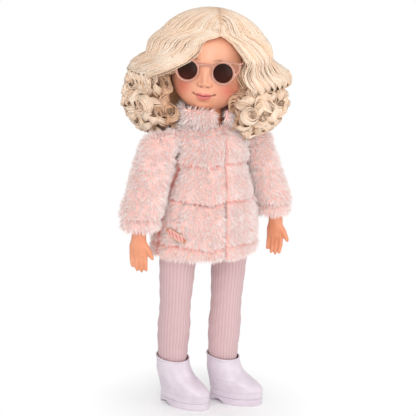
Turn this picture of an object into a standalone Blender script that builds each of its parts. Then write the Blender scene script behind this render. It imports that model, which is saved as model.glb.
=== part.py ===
"""A standing play doll, about 46 cm tall, dressed in a quilted fur jacket, knit tights,
moulded ankle boots and round sunglasses. Its head, arms and legs turn on a stuffed torso.

Metres, +Z up. The torso faces -Y, so the doll's own left is +X. The origin is on the floor,
under the neck. The head is turned and tilted as it is worn in the rest pose.
"""
import math

import bmesh
import bpy
from mathutils import Matrix, Vector

# The whole doll
GAP = 0.0003                    # between pieces that touch
CUT_OVERRUN = 0.004             # how far a cutter runs past what it cuts
MERGE = 0.00002                 # points nearer than this become one
SIDES = {"right": -1, "left": 1}
LIMB_SIDES = 12                 # flats round a leg or a boot
HAND_SIDES = 10                 # round an arm
HEAD_SIDES = 26
JACKET_SIDES = 24
TORSO_SIDES = 16
SLEEVE_SIDES = 14
HAIR_COLUMNS = 10               # across each fall of hair

# Legs: hollow vinyl, hung on an elastic cord through the crotch of the torso
HIP_HEIGHT = 0.210
THIGH_RADIUS = 0.0196
CROTCH_HALF_WIDTH = 0.0130
CROTCH_HALF_DEPTH = 0.0140
CROTCH_DROP = 0.014             # below the hip axis
LEG_WALL = 0.0024
CORD_RADIUS = 0.0025
CORD_CLEARANCE = 0.0003
RETAINER_RADIUS = 0.0065
RETAINER_THICKNESS = 0.0030
DISC_SEAT_SHARE = 0.72          # how near the disc lies to the inside wall of the limb
HIP_BACK = 10.0                 # degrees that a flap swings behind
# Height as a share of the hip height, radius as a share of the thigh's
LEG_SHARES = [
    (0.20, 0.70), (0.30, 0.81), (0.40, 0.885), (0.47, 0.90), (0.54, 0.845),
    (0.61, 0.85), (0.71, 0.92), (0.84, 0.99), (0.93, 1.0), (1.0, 1.0),
]

HALF_ROW_SHARE = 0.02
THIGH_TOP_SHARE = 1 + HALF_ROW_SHARE
# Where each foot stands from straight below its hip: inwards, and behind
FOOT_IN = {"right": 0.0064, "left": 0.0064}
FOOT_BEHIND = {"right": 0.0190, "left": -0.0024}
LEAN_SHARE = 0.88               # of the hip height, where a leg begins to lean
ANKLE_SHARE = 0.34              # and where it is upright again

# Tights
TIGHTS_WALL = 0.0009
TIGHTS_TOP_SHARE = 0.93         # of the hip height

# Boots
SOLE_HEIGHT = 0.0080
SOLE_ARCH_RADIUS = 0.0100
BOOT_HEIGHT = 0.0575            # at the middle of the rim
RIM_FALL = 0.0024               # at the front of the rim, and as much up at its back
BOOT_WALL = 0.0013
BOOT_CLEARANCE = 0.0012         # round the tights
RIM_ROLL = 0.0010
HEEL_OVERHANG = -0.0050         # behind the shaft, at the sole
TOE_REACH = 0.0300              # in front of the shaft
SOLE_HALF_WIDTH = 0.0158
BUTTON_RADIUS = 0.0014
BUTTON_PITCH = 0.0058
BUTTON_COUNT = 3
BUTTON_TOP_DROP = 0.009         # first button below the rim
BUTTON_PROUD = 0.0006
FOOT_TURN = {"right": 29.0, "left": 43.0}       # degrees about +Z, as the doll stands
# Rows from the sole up: height, toe reach and half width as shares; 1 is at the sole, 0 at the shaft
BOOT_SHARES = [
    (0.00, 1.00, 1.00), (0.10, 1.03, 1.02), (0.20, 1.00, 0.96), (0.30, 0.88, 0.84),
    (0.40, 0.66, 0.66), (0.50, 0.40, 0.46), (0.60, 0.21, 0.26), (0.74, 0.08, 0.09),
    (1.00, 0.00, 0.00),
]
FOOT_SHARES = [0.0, 0.10, 0.20, 0.30, 0.40, 0.50]       # rows of the foot inside the boot

# Torso: stuffed cloth, with a vinyl shoulder plate and a nylon neck plug
SHOULDER_RISE = 0.098           # from the hip axis to the shoulder axis
CHEST_HALF_WIDTH = 0.0365
CHEST_HALF_DEPTH = 0.0265
TORSO_CLEARANCE = 0.0014        # over the tights of the raised legs
TORSO_TOP_RISE = 0.008          # above the shoulder axis
# Up the torso: share of its height, and of the hips' half width and half depth
SEAT_SHARES = [(0.0, 0.94, 0.92), (0.08, 1.0, 1.0), (0.22, 0.97, 1.0)]
WAIST_AT_SHARE = 0.40
CHEST_SHARES = [(0.40, 0.96), (0.55, 0.98), (0.70, 1.0), (0.92, 1.0), (1.0, 0.95)]
HIP_WIDTH_SHARE = 0.80          # of the outer width of the two thighs
SEAT_DEPTH_SHARE = 1.38         # of the thigh's radius
PLATE_CROWN = 0.010
NECK_RADIUS = 0.0160
NECK_LENGTH = 0.0400            # from the crown of the plate to its top
PLUG_RADIUS = 0.0060
PLUG_DEPTH = 0.0240
PLUG_FLANGE_RADIUS = 0.0130
PLUG_FLANGE_THICKNESS = 0.0025

# Arms: hollow vinyl, hung on a cord through the chest
SHOULDER_RADIUS = 0.0130
ARM_WALL = 0.0022
WRIST_RADIUS = 0.0083
WRIST_OUT = 0.0405              # from the shoulder's centre
WRIST_FORWARD = 0.010
WRIST_DROP = 0.0900
PALM_TURN = {"right": 40.0, "left": -28.0}   # degrees that each palm faces behind the thigh
PALM_HALF_WIDTH = 0.0115
PALM_HALF_THICKNESS = 0.0062
PALM_LENGTH = 0.0230
FINGER_RADIUS = 0.0029
FINGER_LENGTH = 0.0210
THUMB_RADIUS = 0.0036
THUMB_LENGTH = 0.0200
FINGER_LENGTH_SHARES = [0.92, 1.0, 0.96, 0.78]  # from the thumb's side
# Down the arm: share of the drop, of the way out, of the way forward, and radius from shoulder to wrist
PALM_SHARES = [(0.25, 0.80, 1.05), (0.6, 1.0, 0.95), (1.0, 0.96, 0.62), (1.08, 0.85, 0.4)]
ARM_SHARES = [
    (0.10, 0.11, 0.00, 0.10), (0.22, 0.25, -0.05, 0.28), (0.36, 0.40, -0.12, 0.38),
    (0.50, 0.54, -0.16, 0.50), (0.60, 0.65, -0.10, 0.48), (0.72, 0.77, 0.20, 0.58),
    (0.86, 0.90, 0.60, 0.84), (1.00, 1.00, 1.00, 1.00),
]

# Jacket: quilted fur in tiers, with a placket, a collar and a hem band
JACKET_WALL = 0.0050
JACKET_CLEARANCE = 0.0012
PUFF = 0.0026                   # how far a tier swells between its seams
SEAM_GAP = 0.0008
HEM_DROP = 0.020                # below the hip axis
HEM_BAND_HEIGHT = 0.012
SKIRT_RISE = 0.021              # the waist seam above the underside of the torso
YOKE_DROP = 0.013               # the chest seam below the shoulder axis
COLLAR_RISE = 0.018             # the collar's foot above the torso
COLLAR_HEIGHT = 0.018
COLLAR_WALL = 0.0062
COLLAR_OPENING = 16.0           # degrees each side of the front
NECKLINE_CLEARANCE = 0.0075     # between neck and collar
SKIRT_DEPTH_SHARE = 2.0         # inner half depth, of the thigh with tights
FLAP_CUT_SHARE = 0.60           # where the front panels end, of that depth
BACK_CUT_SHARE = -0.10          # where the back panel starts
YOKE_ROWS = 6
WAIST_ROWS = 5
SKIRT_ROWS = 5
HEM_ROWS = 2
PLACKET_WIDTH = 0.022
PLACKET_THICKNESS = 0.0026
CLOSURE_WIDTH = 0.008
CLOSURE_THICKNESS = 0.0006
PATCH_LENGTH = 0.020
PATCH_HEIGHT = 0.0085
PATCH_THICKNESS = 0.0010
PATCH_ANGLE = -64.0             # degrees round from the front
PATCH_TILT = 24.0
PATCH_RISE = 0.014              # above the hem band

# Sleeves
SLEEVE_RADIUS = 0.0215
SLEEVE_WALL = 0.0052
SLEEVE_CLEARANCE = 0.0006       # round the arm
SLEEVE_OUT = 0.0120             # the sleeve's centre beyond the shoulder's
CUFF_HEIGHT = 0.0125
CUFF_RADIUS = 0.0205
SLEEVE_END_SHARE = 0.93         # of the drop to the wrist
# Down the sleeve: share of the length, of the way out, radius share
SLEEVE_SHARES = [
    (0.00, 0.05, 0.93), (0.14, 0.18, 0.98), (0.30, 0.35, 0.99), (0.50, 0.54, 0.96),
    (0.70, 0.74, 1.01), (0.90, 0.93, 1.04), (1.00, 1.00, 1.00),
]
# Over the shoulder: height and radius as shares of the sleeve's, and how far it leans in to the yoke
SLEEVE_DOME_SHARES = [(0.35, 0.98, 0.10), (0.66, 0.84, 0.30), (0.86, 0.60, 0.55), (0.97, 0.30, 0.80)]

# Head
HEAD_CENTRE_RISE = 0.0390       # above the base of the head
HEAD_HALF_WIDTH = 0.0415
HEAD_HALF_DEPTH = 0.0440
HEAD_UP = 0.0465                # from the centre to the crown
HEAD_DOWN = 0.0505              # from the centre to the chin
HEAD_BACK = 0.0020              # the centre behind the neck's axis
HEAD_WALL = 0.0026
BASE_WALL = 0.0030
BASE_RADIUS = 0.0180
HEAD_YAW = -38.0                # degrees, as worn at rest
HEAD_ROLL = 3.5
EYE_RADIUS = 0.0070
EYE_OUT = 0.0165
EYE_SET = 0.0178                # the pins behind the front of the face
EYE_DROP = 0.0060
EYE_CLEARANCE = 0.0004
EYE_OPENING_RADIUS = 0.0056
WELL_WALL = 0.0013
WELL_BACK = 0.0050
PIN_RADIUS = 0.0010
WEIGHT_ARM = 0.0140
WEIGHT_RADIUS = 0.0036
WEIGHT_STEM_RADIUS = 0.0009

# Sunglasses
LENS_SPACING = 0.0390
RIM_OUTER_RADIUS = 0.0132
RIM_INNER_RADIUS = 0.0108
RIM_DEPTH = 0.0030
LENS_THICKNESS = 0.0012
LENS_CLEARANCE = 0.0003
FRAME_STANDOFF = 0.0035         # the middle of the rims in front of the face
FRAME_DROP = 0.0050
BAR = 0.0022                    # thickness of the bridge, wings and temples
WING_REACH = 0.0174             # from the lens centre
WING_WIDTH = 0.0028
WING_FOOT_ANGLE = -22.0         # degrees below level, where the wing runs into the rim
BRIDGE_RISE = 0.0074            # above the lens centres
TEMPLE_LENGTH = 0.0600
TEMPLE_GAP = 0.0003             # off the side of the head
TEMPLE_AT_SHARE = 1.04          # of the head's half width, above the ears
HOOK_DROP = 0.0080

# Hair
HAIR_CLEARANCE = 0.0015         # off the scalp
HAIR_TOP = 0.0130               # above the crown of the head
HAIR_RIM_RISE = 0.0360          # where the crown piece ends, above the head's centre
HAIR_DROP = 0.0696              # the ends of the hair below the head's centre
PART_AZIMUTH = 22.0             # the parting, towards the doll's left
HAIR_WAVE = 0.0034
HAIR_WAVE_PITCH = 0.0300
TEMPLE_SLOT = 0.0016            # room round the temples of the sunglasses
BACK_EDGE = 128.0               # degrees from the face to where the back hair starts
NAPE_RADIUS = 0.0400            # kept clear round the collar

# Worked out from the sizes above
LEG_OUTER = THIGH_RADIUS + GAP + TIGHTS_WALL
LEG_X = CROTCH_HALF_WIDTH + 2 * GAP + LEG_OUTER
TORSO_BOTTOM = HIP_HEIGHT + LEG_OUTER + TORSO_CLEARANCE
SHOULDER_HEIGHT = HIP_HEIGHT + SHOULDER_RISE
TORSO_TOP = SHOULDER_HEIGHT + TORSO_TOP_RISE
NECK_TOP = TORSO_TOP + GAP + PLATE_CROWN + NECK_LENGTH
HEAD_BASE = NECK_TOP + GAP
HEAD_CENTRE = Vector((0, HEAD_BACK, HEAD_BASE + HEAD_CENTRE_RISE))
HAIR_BOTTOM = HEAD_CENTRE.z - HAIR_DROP
EYE_FORWARD = HEAD_HALF_DEPTH - EYE_SET
FRAME_FORWARD = HEAD_HALF_DEPTH + FRAME_STANDOFF
HEM = HIP_HEIGHT - HEM_DROP
HEM_SEAM = HEM + HEM_BAND_HEIGHT
WAIST_SEAM = TORSO_BOTTOM + SKIRT_RISE
CHEST_SEAM = SHOULDER_HEIGHT - YOKE_DROP
COLLAR_FOOT = TORSO_TOP + COLLAR_RISE
SKIRT_IN_WIDTH = LEG_X + LEG_OUTER + JACKET_CLEARANCE
SKIRT_IN_DEPTH = LEG_OUTER * SKIRT_DEPTH_SHARE
YOKE_IN_WIDTH = CHEST_HALF_WIDTH + JACKET_CLEARANCE
YOKE_IN_DEPTH = CHEST_HALF_DEPTH + JACKET_CLEARANCE + YOKE_DROP / 2
ARMHOLE_X = YOKE_IN_WIDTH + JACKET_WALL + GAP
ARM_X = CHEST_HALF_WIDTH + 2 * GAP + SHOULDER_RADIUS
WRIST_HEIGHT = SHOULDER_HEIGHT - WRIST_DROP
COLLAR_IN = NECK_RADIUS + NECKLINE_CLEARANCE
HEM_SPAN = (HEM, HEM_SEAM - GAP / 2)
SKIRT_SPAN = (HEM_SEAM + GAP / 2, WAIST_SEAM - SEAM_GAP / 2)
WAIST_SPAN = (WAIST_SEAM + SEAM_GAP / 2, CHEST_SEAM - SEAM_GAP / 2)
YOKE_SPAN = (CHEST_SEAM + SEAM_GAP / 2, COLLAR_FOOT)
FLAP_Y = SKIRT_IN_DEPTH * FLAP_CUT_SHARE
BACK_Y = SKIRT_IN_DEPTH * BACK_CUT_SHARE

COLOURS = {
    "skin_vinyl": ((0.86, 0.58, 0.44), 0.45),
    "doll_cloth": ((0.87, 0.80, 0.74), 0.9),
    "fur": ((0.90, 0.72, 0.70), 0.95),
    "hair": ((0.90, 0.78, 0.62), 0.45),
    "tights": ((0.84, 0.70, 0.70), 0.9),
    "boot_vinyl": ((0.90, 0.87, 0.91), 0.4),
    "frame_plastic": ((0.86, 0.60, 0.52), 0.3),
    "lens": ((0.10, 0.04, 0.03), 0.08),
    "eye": ((0.35, 0.24, 0.16), 0.1),
    "weight_metal": ((0.45, 0.45, 0.47), 0.4),
    "nylon": ((0.92, 0.91, 0.88), 0.4),
    "elastic": ((0.95, 0.94, 0.92), 0.8),
    "closure_tape": ((0.90, 0.74, 0.72), 0.95),
    "patch_cloth": ((0.85, 0.48, 0.42), 0.8),
}
METALS = {"weight_metal"}
WORK_SCALE = 1000


def material(name):
    found = bpy.data.materials.get(name)
    if found:
        return found
    colour, roughness = COLOURS[name]
    made = bpy.data.materials.new(name)
    made.use_nodes = True
    shader = made.node_tree.nodes["Principled BSDF"]
    shader.inputs["Base Color"].default_value = (*colour, 1)
    shader.inputs["Roughness"].default_value = roughness
    shader.inputs["Metallic"].default_value = 1.0 if name in METALS else 0.0
    return made


def clear_scene():
    for obj in list(bpy.data.objects):
        bpy.data.objects.remove(obj)


def blend(a, b, share):
    return a + (b - a) * share


def along(table, share):
    """Reads a table of (share, value, ...) rows between its rows."""
    if share <= table[0][0]:
        return table[0][1:]
    for low, high in zip(table, table[1:]):
        if share <= high[0]:
            part = (share - low[0]) / (high[0] - low[0])
            return tuple(blend(a, b, part) for a, b in zip(low[1:], high[1:]))
    return table[-1][1:]


def empty(name, place):
    made = bpy.data.objects.new(name, None)
    made.location = place
    bpy.context.scene.collection.objects.link(made)
    return made


def finish_mesh(name, mesh, slot, parent=None, place=None):
    """Turns a bmesh into a named object. A moving piece hangs on its joint's empty."""
    bmesh.ops.recalc_face_normals(mesh, faces=mesh.faces)
    data = bpy.data.meshes.new(name)
    mesh.to_mesh(data)
    mesh.free()
    data.shade_smooth()
    data.set_sharp_from_angle(angle=math.radians(40))
    obj = bpy.data.objects.new(name, data)
    bpy.context.scene.collection.objects.link(obj)
    if slot:
        data.materials.append(material(slot))
    else:
        obj.hide_render = True
        obj.display_type = "WIRE"
    if place:
        data.transform(place)
    if parent:
        data.transform(Matrix.Translation(-parent.location))
        obj.parent = parent
    return obj


def hang(obj, slot, parent, place):
    """Gives a solid that was built by itself its material, its place and its joint."""
    obj.data.materials.clear()
    obj.data.materials.append(material(slot))
    obj.hide_render = False
    obj.display_type = "TEXTURED"
    obj.data.transform(place)
    obj.data.transform(Matrix.Translation(-parent.location))
    obj.parent = parent
    return obj


def split(mesh, corners):
    """Two triangles, so that nested skins fold along the same diagonals."""
    a, b, c, d = corners
    mesh.faces.new((a, b, c))
    mesh.faces.new((a, c, d))


def capped(name, rings, slot, parent=None, place=None):
    """A solid through closed rings of points, with a fan at each end."""
    mesh = bmesh.new()
    loops = [[mesh.verts.new(point) for point in ring] for ring in rings]
    count = len(rings[0])
    for low, high in zip(loops, loops[1:]):
        rising = sum(v.co.z for v in high) > sum(v.co.z for v in low)
        for i in range(count):
            j = (i + 1) % count
            corners = (low[i], low[j], high[j], high[i])
            split(mesh, corners if rising else corners[1:] + corners[:1])
    for loop in (loops[0], loops[-1]):
        middle = mesh.verts.new(sum((v.co for v in loop), Vector()) / count)
        for i in range(count):
            mesh.faces.new((loop[i], loop[(i + 1) % count], middle))
    return finish_mesh(name, mesh, slot, parent, place)


def panel(name, outer, inner, slot, parent=None, place=None, wrap=False):
    """A curved sheet with thickness, from two grids of points. wrap joins its two ends."""
    mesh = bmesh.new()
    front = [[mesh.verts.new(p) for p in column] for column in outer]
    back = [[mesh.verts.new(p) for p in column] for column in inner]
    columns, rows = len(outer), len(outer[0])
    for i in range(columns if wrap else columns - 1):
        k = (i + 1) % columns
        for j in range(rows - 1):
            split(mesh, (front[i][j], front[k][j], front[k][j + 1], front[i][j + 1]))
            split(mesh, (back[k][j + 1], back[k][j], back[i][j], back[i][j + 1]))
        mesh.faces.new((front[i][0], back[i][0], back[k][0], front[k][0]))
        mesh.faces.new((front[i][-1], front[k][-1], back[k][-1], back[i][-1]))
    if not wrap:
        for i in (0, -1):
            for j in range(rows - 1):
                mesh.faces.new((front[i][j], front[i][j + 1], back[i][j + 1], back[i][j]))
    return finish_mesh(name, mesh, slot, parent, place)


def oval(width, depth, height, count=TORSO_SIDES, centre=(0, 0), turn=0.0):
    """A level ring. turn is in degrees about +Z."""
    ring = []
    spin = math.radians(turn)
    for i in range(count):
        angle = 2 * math.pi * i / count
        x, y = width * math.sin(angle), -depth * math.cos(angle)
        ring.append(Vector((
            centre[0] + x * math.cos(spin) - y * math.sin(spin),
            centre[1] + x * math.sin(spin) + y * math.cos(spin),
            height,
        )))
    return ring


def rod(name, start, end, radius, slot, parent=None, place=None, count=12):
    """A round bar between two points."""
    start, end = Vector(start), Vector(end)
    turn = (end - start).to_track_quat("Z", "Y").to_matrix()
    ring = [turn @ p for p in oval(radius, radius, 0, count)]
    return capped(name, [[start + p for p in ring], [end + p for p in ring]], slot, parent, place)


def ball(name, centre, radius, slot, parent=None, place=None, count=12, rows=7):
    centre = Vector(centre)
    rings = []
    for j in range(1, rows):
        angle = math.pi * j / rows
        size = radius * math.sin(angle)
        ring = oval(size, size, -radius * math.cos(angle), count)
        rings.append([centre + p for p in ring])
    return capped(name, rings, slot, parent, place)


def box(name, low, high, parent=None, place=None, slot=None):
    (x0, y0, z0), (x1, y1, z1) = low, high
    ring = [(x0, y0), (x1, y0), (x1, y1), (x0, y1)]
    rings = [[Vector((x, y, z)) for x, y in ring] for z in (z0, z1)]
    return capped(name, rings, slot, parent, place)


def boolean(obj, other, operation="DIFFERENCE"):
    """Cuts or joins at once, so that the helper can go. The sum is worked out enlarged, for precision."""
    for data in (obj.data, other.data):
        data.transform(Matrix.Scale(WORK_SCALE, 4))
    step = obj.modifiers.new(other.name, "BOOLEAN")
    step.object = other
    step.operation = operation
    step.solver = "EXACT"
    bpy.context.view_layer.update()
    graph = bpy.context.evaluated_depsgraph_get()
    made = bpy.data.meshes.new_from_object(obj.evaluated_get(graph))
    made.transform(Matrix.Scale(1 / WORK_SCALE, 4))
    tidy = bmesh.new()
    tidy.from_mesh(made)
    bmesh.ops.remove_doubles(tidy, verts=tidy.verts, dist=MERGE)
    bmesh.ops.dissolve_degenerate(tidy, edges=tidy.edges, dist=MERGE)
    bmesh.ops.triangulate(tidy, faces=tidy.faces)
    bmesh.ops.holes_fill(tidy, edges=[edge for edge in tidy.edges if edge.is_boundary])
    tidy.to_mesh(made)
    tidy.free()
    obj.modifiers.clear()
    old = obj.data
    obj.data = made
    bpy.data.meshes.remove(old)
    bpy.data.objects.remove(other)
    return obj


# Legs, tights and boots

def leg_radius(share):
    return along(LEG_SHARES, share)[0] * THIGH_RADIUS


def foot_place(side):
    """Where the foot stands, straight below the ankle."""
    sign = SIDES[side]
    return Vector((sign * (LEG_X - FOOT_IN[side]), FOOT_BEHIND[side], 0))


def shaft_radius():
    """The boot's inside, round the tights at the ankle."""
    return leg_radius(BOOT_HEIGHT / HIP_HEIGHT) + GAP + TIGHTS_WALL + BOOT_CLEARANCE


def boot_ring(share, inset, height, side, fall=0.0, count=LIMB_SIDES):
    """One outline of the boot: round at the shaft, egg-shaped at the sole, level unless it falls to the toe."""
    toe, width = along(BOOT_SHARES, share)
    radius = shaft_radius() + BOOT_WALL - inset
    half_width = blend(radius, SOLE_HALF_WIDTH - inset, width)
    front = radius + TOE_REACH * toe
    back = radius + HEEL_OVERHANG * width
    centre_y = (back - front) / 2
    half = (front + back) / 2
    ring = []
    for i in range(count):
        angle = 2 * math.pi * i / count
        y = centre_y - half * math.cos(angle)
        narrow = 1 - 0.16 * width * max(0.0, -math.cos(angle))
        square = blend(1.0, 0.88, width)
        x = half_width * narrow * math.copysign(abs(math.sin(angle)) ** square, math.sin(angle))
        ring.append((x, y))
    spin = math.radians(FOOT_TURN[side])
    stand = foot_place(side)
    made = []
    for point in ring:
        turned = Matrix.Rotation(spin, 2) @ Vector(point)
        made.append(stand + Vector((turned.x, turned.y, height + fall * point[1] / half)))
    return made


def make_boot(side, hip):
    foot_bottom = SOLE_HEIGHT + GAP
    rise = BOOT_HEIGHT - foot_bottom
    shares = [row[0] for row in BOOT_SHARES]
    outer = [boot_ring(s, 0, foot_bottom + rise * s, side) for s in shares]
    outer.pop()
    for inset, drop in ((0.0, 4), (-RIM_ROLL, 3), (-RIM_ROLL, 1), (0.0, 0)):
        outer.append(boot_ring(1.0, inset, BOOT_HEIGHT - drop * RIM_ROLL, side, RIM_FALL))
    bed = foot_bottom + BOOT_WALL
    inner = [boot_ring(s, BOOT_WALL, bed + (rise - BOOT_WALL) * s, side) for s in shares[:-1]]
    inner.append(boot_ring(1.0, BOOT_WALL, BOOT_HEIGHT, side, RIM_FALL))
    boot = capped(f"boot_{side}", outer + inner[::-1], "boot_vinyl", hip)
    spin = Matrix.Rotation(math.radians(FOOT_TURN[side]), 4, "Z")
    middle = foot_place(side)
    for i in range(BUTTON_COUNT):
        height = BOOT_HEIGHT - BUTTON_TOP_DROP - i * BUTTON_PITCH
        face = boot_flank(height)
        out = spin @ Vector((SIDES[side] * (face - BOOT_WALL / 2), 0, 0))
        tip = spin @ Vector((SIDES[side] * (face + BUTTON_PROUD), 0, 0))
        lift = middle + Vector((0, 0, height))
        boolean(boot, rod("button", out + lift, tip + lift, BUTTON_RADIUS, None, hip, count=8), "UNION")
    sole_rows = [(0.0, RIM_ROLL), (RIM_ROLL, 0.0), (SOLE_HEIGHT, 0.0)]
    rings = [boot_ring(0.0, inset, z, side) for z, inset in sole_rows]
    sole = capped(f"boot_sole_{side}", rings, "boot_vinyl", hip)
    reach = SOLE_HALF_WIDTH + CUT_OVERRUN
    place = Matrix.Translation(middle) @ spin
    arch_y = shaft_radius() * 0.15
    sink = SOLE_ARCH_RADIUS * 0.5
    ends = [(-reach, arch_y, -sink), (reach, arch_y, -sink)]
    boolean(sole, rod("arch", *ends, SOLE_ARCH_RADIUS, None, hip, place, count=20))
    return boot, sole


def boot_flank(height):
    """Half width of the boot's outside beside the leg's axis, at a height."""
    share = (height - SOLE_HEIGHT - GAP) / (BOOT_HEIGHT - SOLE_HEIGHT - GAP)
    toe, width = along(BOOT_SHARES, share)
    radius = shaft_radius() + BOOT_WALL
    front, back = radius + TOE_REACH * toe, radius + HEEL_OVERHANG * width
    off_centre = (front - back) / (front + back)
    return blend(radius, SOLE_HALF_WIDTH, width) * math.sqrt(1 - off_centre ** 2)


def foot_ring(share, side, inset):
    foot_bottom = SOLE_HEIGHT + GAP
    rise = BOOT_HEIGHT - foot_bottom - BOOT_WALL
    lift = (BOOT_CLEARANCE + inset) * max(0.0, 1 - share / FOOT_SHARES[1])
    height = foot_bottom + BOOT_WALL + lift + rise * share
    return boot_ring(share, BOOT_WALL + BOOT_CLEARANCE + inset, height, side)


def leg_ring(share, side, inset):
    """A level ring of the leg, which leans from the hip to where the foot stands."""
    radius = leg_radius(share) - inset
    lean = min(1.0, max(0.0, (LEAN_SHARE - share) / (LEAN_SHARE - ANKLE_SHARE)))
    middle = Vector((SIDES[side] * LEG_X, 0, 0)).lerp(foot_place(side), lean)
    return oval(radius, radius, HIP_HEIGHT * share, LIMB_SIDES, middle.xy)


def leg_rings(side, inset, top_share, step=1):
    """The foot, then the leg up to the hip, grown or shrunk by the inset."""
    skin = TIGHTS_WALL + GAP + inset
    feet = [foot_ring(s, side, skin) for s in FOOT_SHARES[::step]]
    rows = [s for s, _ in LEG_SHARES if s <= top_share - HALF_ROW_SHARE]
    return feet + [leg_ring(s, side, inset) for s in rows[::step]]


def make_leg(side, hip):
    x = SIDES[side] * LEG_X
    outer = leg_rings(side, 0.0, THIGH_TOP_SHARE)
    inner = leg_rings(side, LEG_WALL, THIGH_TOP_SHARE, 2)
    for step in (0.4, 0.72, 0.93):
        size = math.sqrt(1 - step * step)
        for rings, radius in ((outer, THIGH_RADIUS), (inner, THIGH_RADIUS - LEG_WALL)):
            rings.append(oval(radius * size, radius * size, HIP_HEIGHT + radius * step, LIMB_SIDES, (x, 0)))
    leg = capped(f"leg_{side}", outer, "skin_vinyl", hip)
    boolean(leg, capped("leg_core", inner, None, hip))
    start = (SIDES[side] * (CROTCH_HALF_WIDTH - CUT_OVERRUN), 0, HIP_HEIGHT)
    boolean(leg, rod("cord_hole", start, (x, 0, HIP_HEIGHT), CORD_RADIUS + CORD_CLEARANCE, None, hip))
    return leg


def make_tights(side, hip):
    top = TIGHTS_TOP_SHARE
    inner = leg_rings(side, -GAP, top) + [leg_ring(top, side, -GAP)]
    outer = leg_rings(side, -GAP - TIGHTS_WALL, top) + [leg_ring(top, side, -GAP - TIGHTS_WALL)]
    return capped(f"tights_leg_{side}", outer + inner[::-1], "tights", hip)


# Torso, shoulder plate, neck and cords

def torso_size(height):
    """Half width and half depth of the stuffed torso."""
    hip_width = (LEG_X + LEG_OUTER) * HIP_WIDTH_SHARE
    hip_depth = LEG_OUTER * SEAT_DEPTH_SHARE
    share = (height - TORSO_BOTTOM) / (TORSO_TOP - TORSO_BOTTOM)
    if share < WAIST_AT_SHARE:
        narrow = CHEST_SHARES[0][1]
        wide, deep = CHEST_HALF_WIDTH * narrow, CHEST_HALF_DEPTH * narrow
        waist = (WAIST_AT_SHARE, wide / hip_width, deep / hip_depth)
        wide, deep = along([*SEAT_SHARES, waist], share)
        return hip_width * wide, hip_depth * deep
    wide = along(CHEST_SHARES, share)[0]
    return CHEST_HALF_WIDTH * wide, CHEST_HALF_DEPTH * wide


def make_torso():
    rings = [oval(CROTCH_HALF_WIDTH, CROTCH_HALF_DEPTH, HIP_HEIGHT - CROTCH_DROP)]
    rings.append(oval(CROTCH_HALF_WIDTH, CROTCH_HALF_DEPTH, TORSO_BOTTOM - GAP))
    for share in [row[0] for row in (*SEAT_SHARES, *CHEST_SHARES)]:
        height = blend(TORSO_BOTTOM, TORSO_TOP, share)
        rings.append(oval(*torso_size(height), height))
    torso = capped("torso_body", rings, "doll_cloth")
    bore = CORD_RADIUS + CORD_CLEARANCE
    for height in (HIP_HEIGHT, SHOULDER_HEIGHT):
        reach = CHEST_HALF_WIDTH + CUT_OVERRUN
        boolean(torso, rod("cord_bore", (-reach, 0, height), (reach, 0, height), bore, None))
    return torso


def make_shoulder_plate():
    foot = TORSO_TOP + GAP
    wide, deep = torso_size(TORSO_TOP)
    crown = foot + PLATE_CROWN
    rings = [oval(wide, deep, foot), oval(wide, deep, blend(foot, crown, 0.25))]
    rings.append(oval(wide * 0.84, deep * 0.90, blend(foot, crown, 0.7)))
    rings.append(oval(blend(wide, NECK_RADIUS, 0.62), blend(deep, NECK_RADIUS, 0.62), crown))
    rings.append(oval(NECK_RADIUS * 1.06, NECK_RADIUS * 1.06, blend(crown, NECK_TOP, 0.16)))
    rings.append(oval(NECK_RADIUS, NECK_RADIUS, blend(crown, NECK_TOP, 0.35)))
    rings.append(oval(NECK_RADIUS, NECK_RADIUS, NECK_TOP))
    bore = PLUG_RADIUS + GAP
    rings.append(oval(bore, bore, NECK_TOP))
    rings.append(oval(bore, bore, NECK_TOP - PLUG_DEPTH - GAP))
    return capped("shoulder_plate", rings, "skin_vinyl")


def make_neck_plug():
    flange = HEAD_BASE + BASE_WALL + GAP
    rings = [oval(PLUG_RADIUS, PLUG_RADIUS, NECK_TOP - PLUG_DEPTH), oval(PLUG_RADIUS, PLUG_RADIUS, flange)]
    rings.append(oval(PLUG_FLANGE_RADIUS, PLUG_FLANGE_RADIUS, flange))
    rings.append(oval(PLUG_FLANGE_RADIUS, PLUG_FLANGE_RADIUS, flange + PLUG_FLANGE_THICKNESS / 2))
    rings.append(oval(PLUG_FLANGE_RADIUS * 0.9, PLUG_FLANGE_RADIUS * 0.9, flange + PLUG_FLANGE_THICKNESS))
    return capped("neck_plug", rings, "nylon")


def make_cords():
    """Two elastic cords, each held inside the limbs by a disc at either end."""
    made = []
    spans = {
        "arm": (SHOULDER_HEIGHT, ARM_X, SHOULDER_RADIUS - ARM_WALL),
        "leg": (HIP_HEIGHT, LEG_X, THIGH_RADIUS - LEG_WALL),
    }
    for limb, (height, centre, hollow) in spans.items():
        disc = centre - math.sqrt(hollow ** 2 - RETAINER_RADIUS ** 2) * DISC_SEAT_SHARE
        end = disc + RETAINER_THICKNESS
        made.append(rod(f"{limb}_cord", (-end, 0, height), (end, 0, height), CORD_RADIUS, "elastic"))
        for side, sign in SIDES.items():
            start, stop = (sign * disc, 0, height), (sign * end, 0, height)
            ring = rod(f"{limb}_cord_disc_{side}", start, stop, RETAINER_RADIUS, "nylon")
            low = (sign * (disc - CUT_OVERRUN), 0, height)
            high = (sign * (end + CUT_OVERRUN), 0, height)
            boolean(ring, rod("disc_hole", low, high, CORD_RADIUS + CORD_CLEARANCE, None))
            made.append(ring)
    return made


# Arms, hands and sleeves

def arm_point(side, drop, out, forward):
    sign = SIDES[side]
    return Vector((
        sign * (ARM_X + WRIST_OUT * out),
        -WRIST_FORWARD * forward,
        SHOULDER_HEIGHT - WRIST_DROP * drop,
    ))


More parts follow.
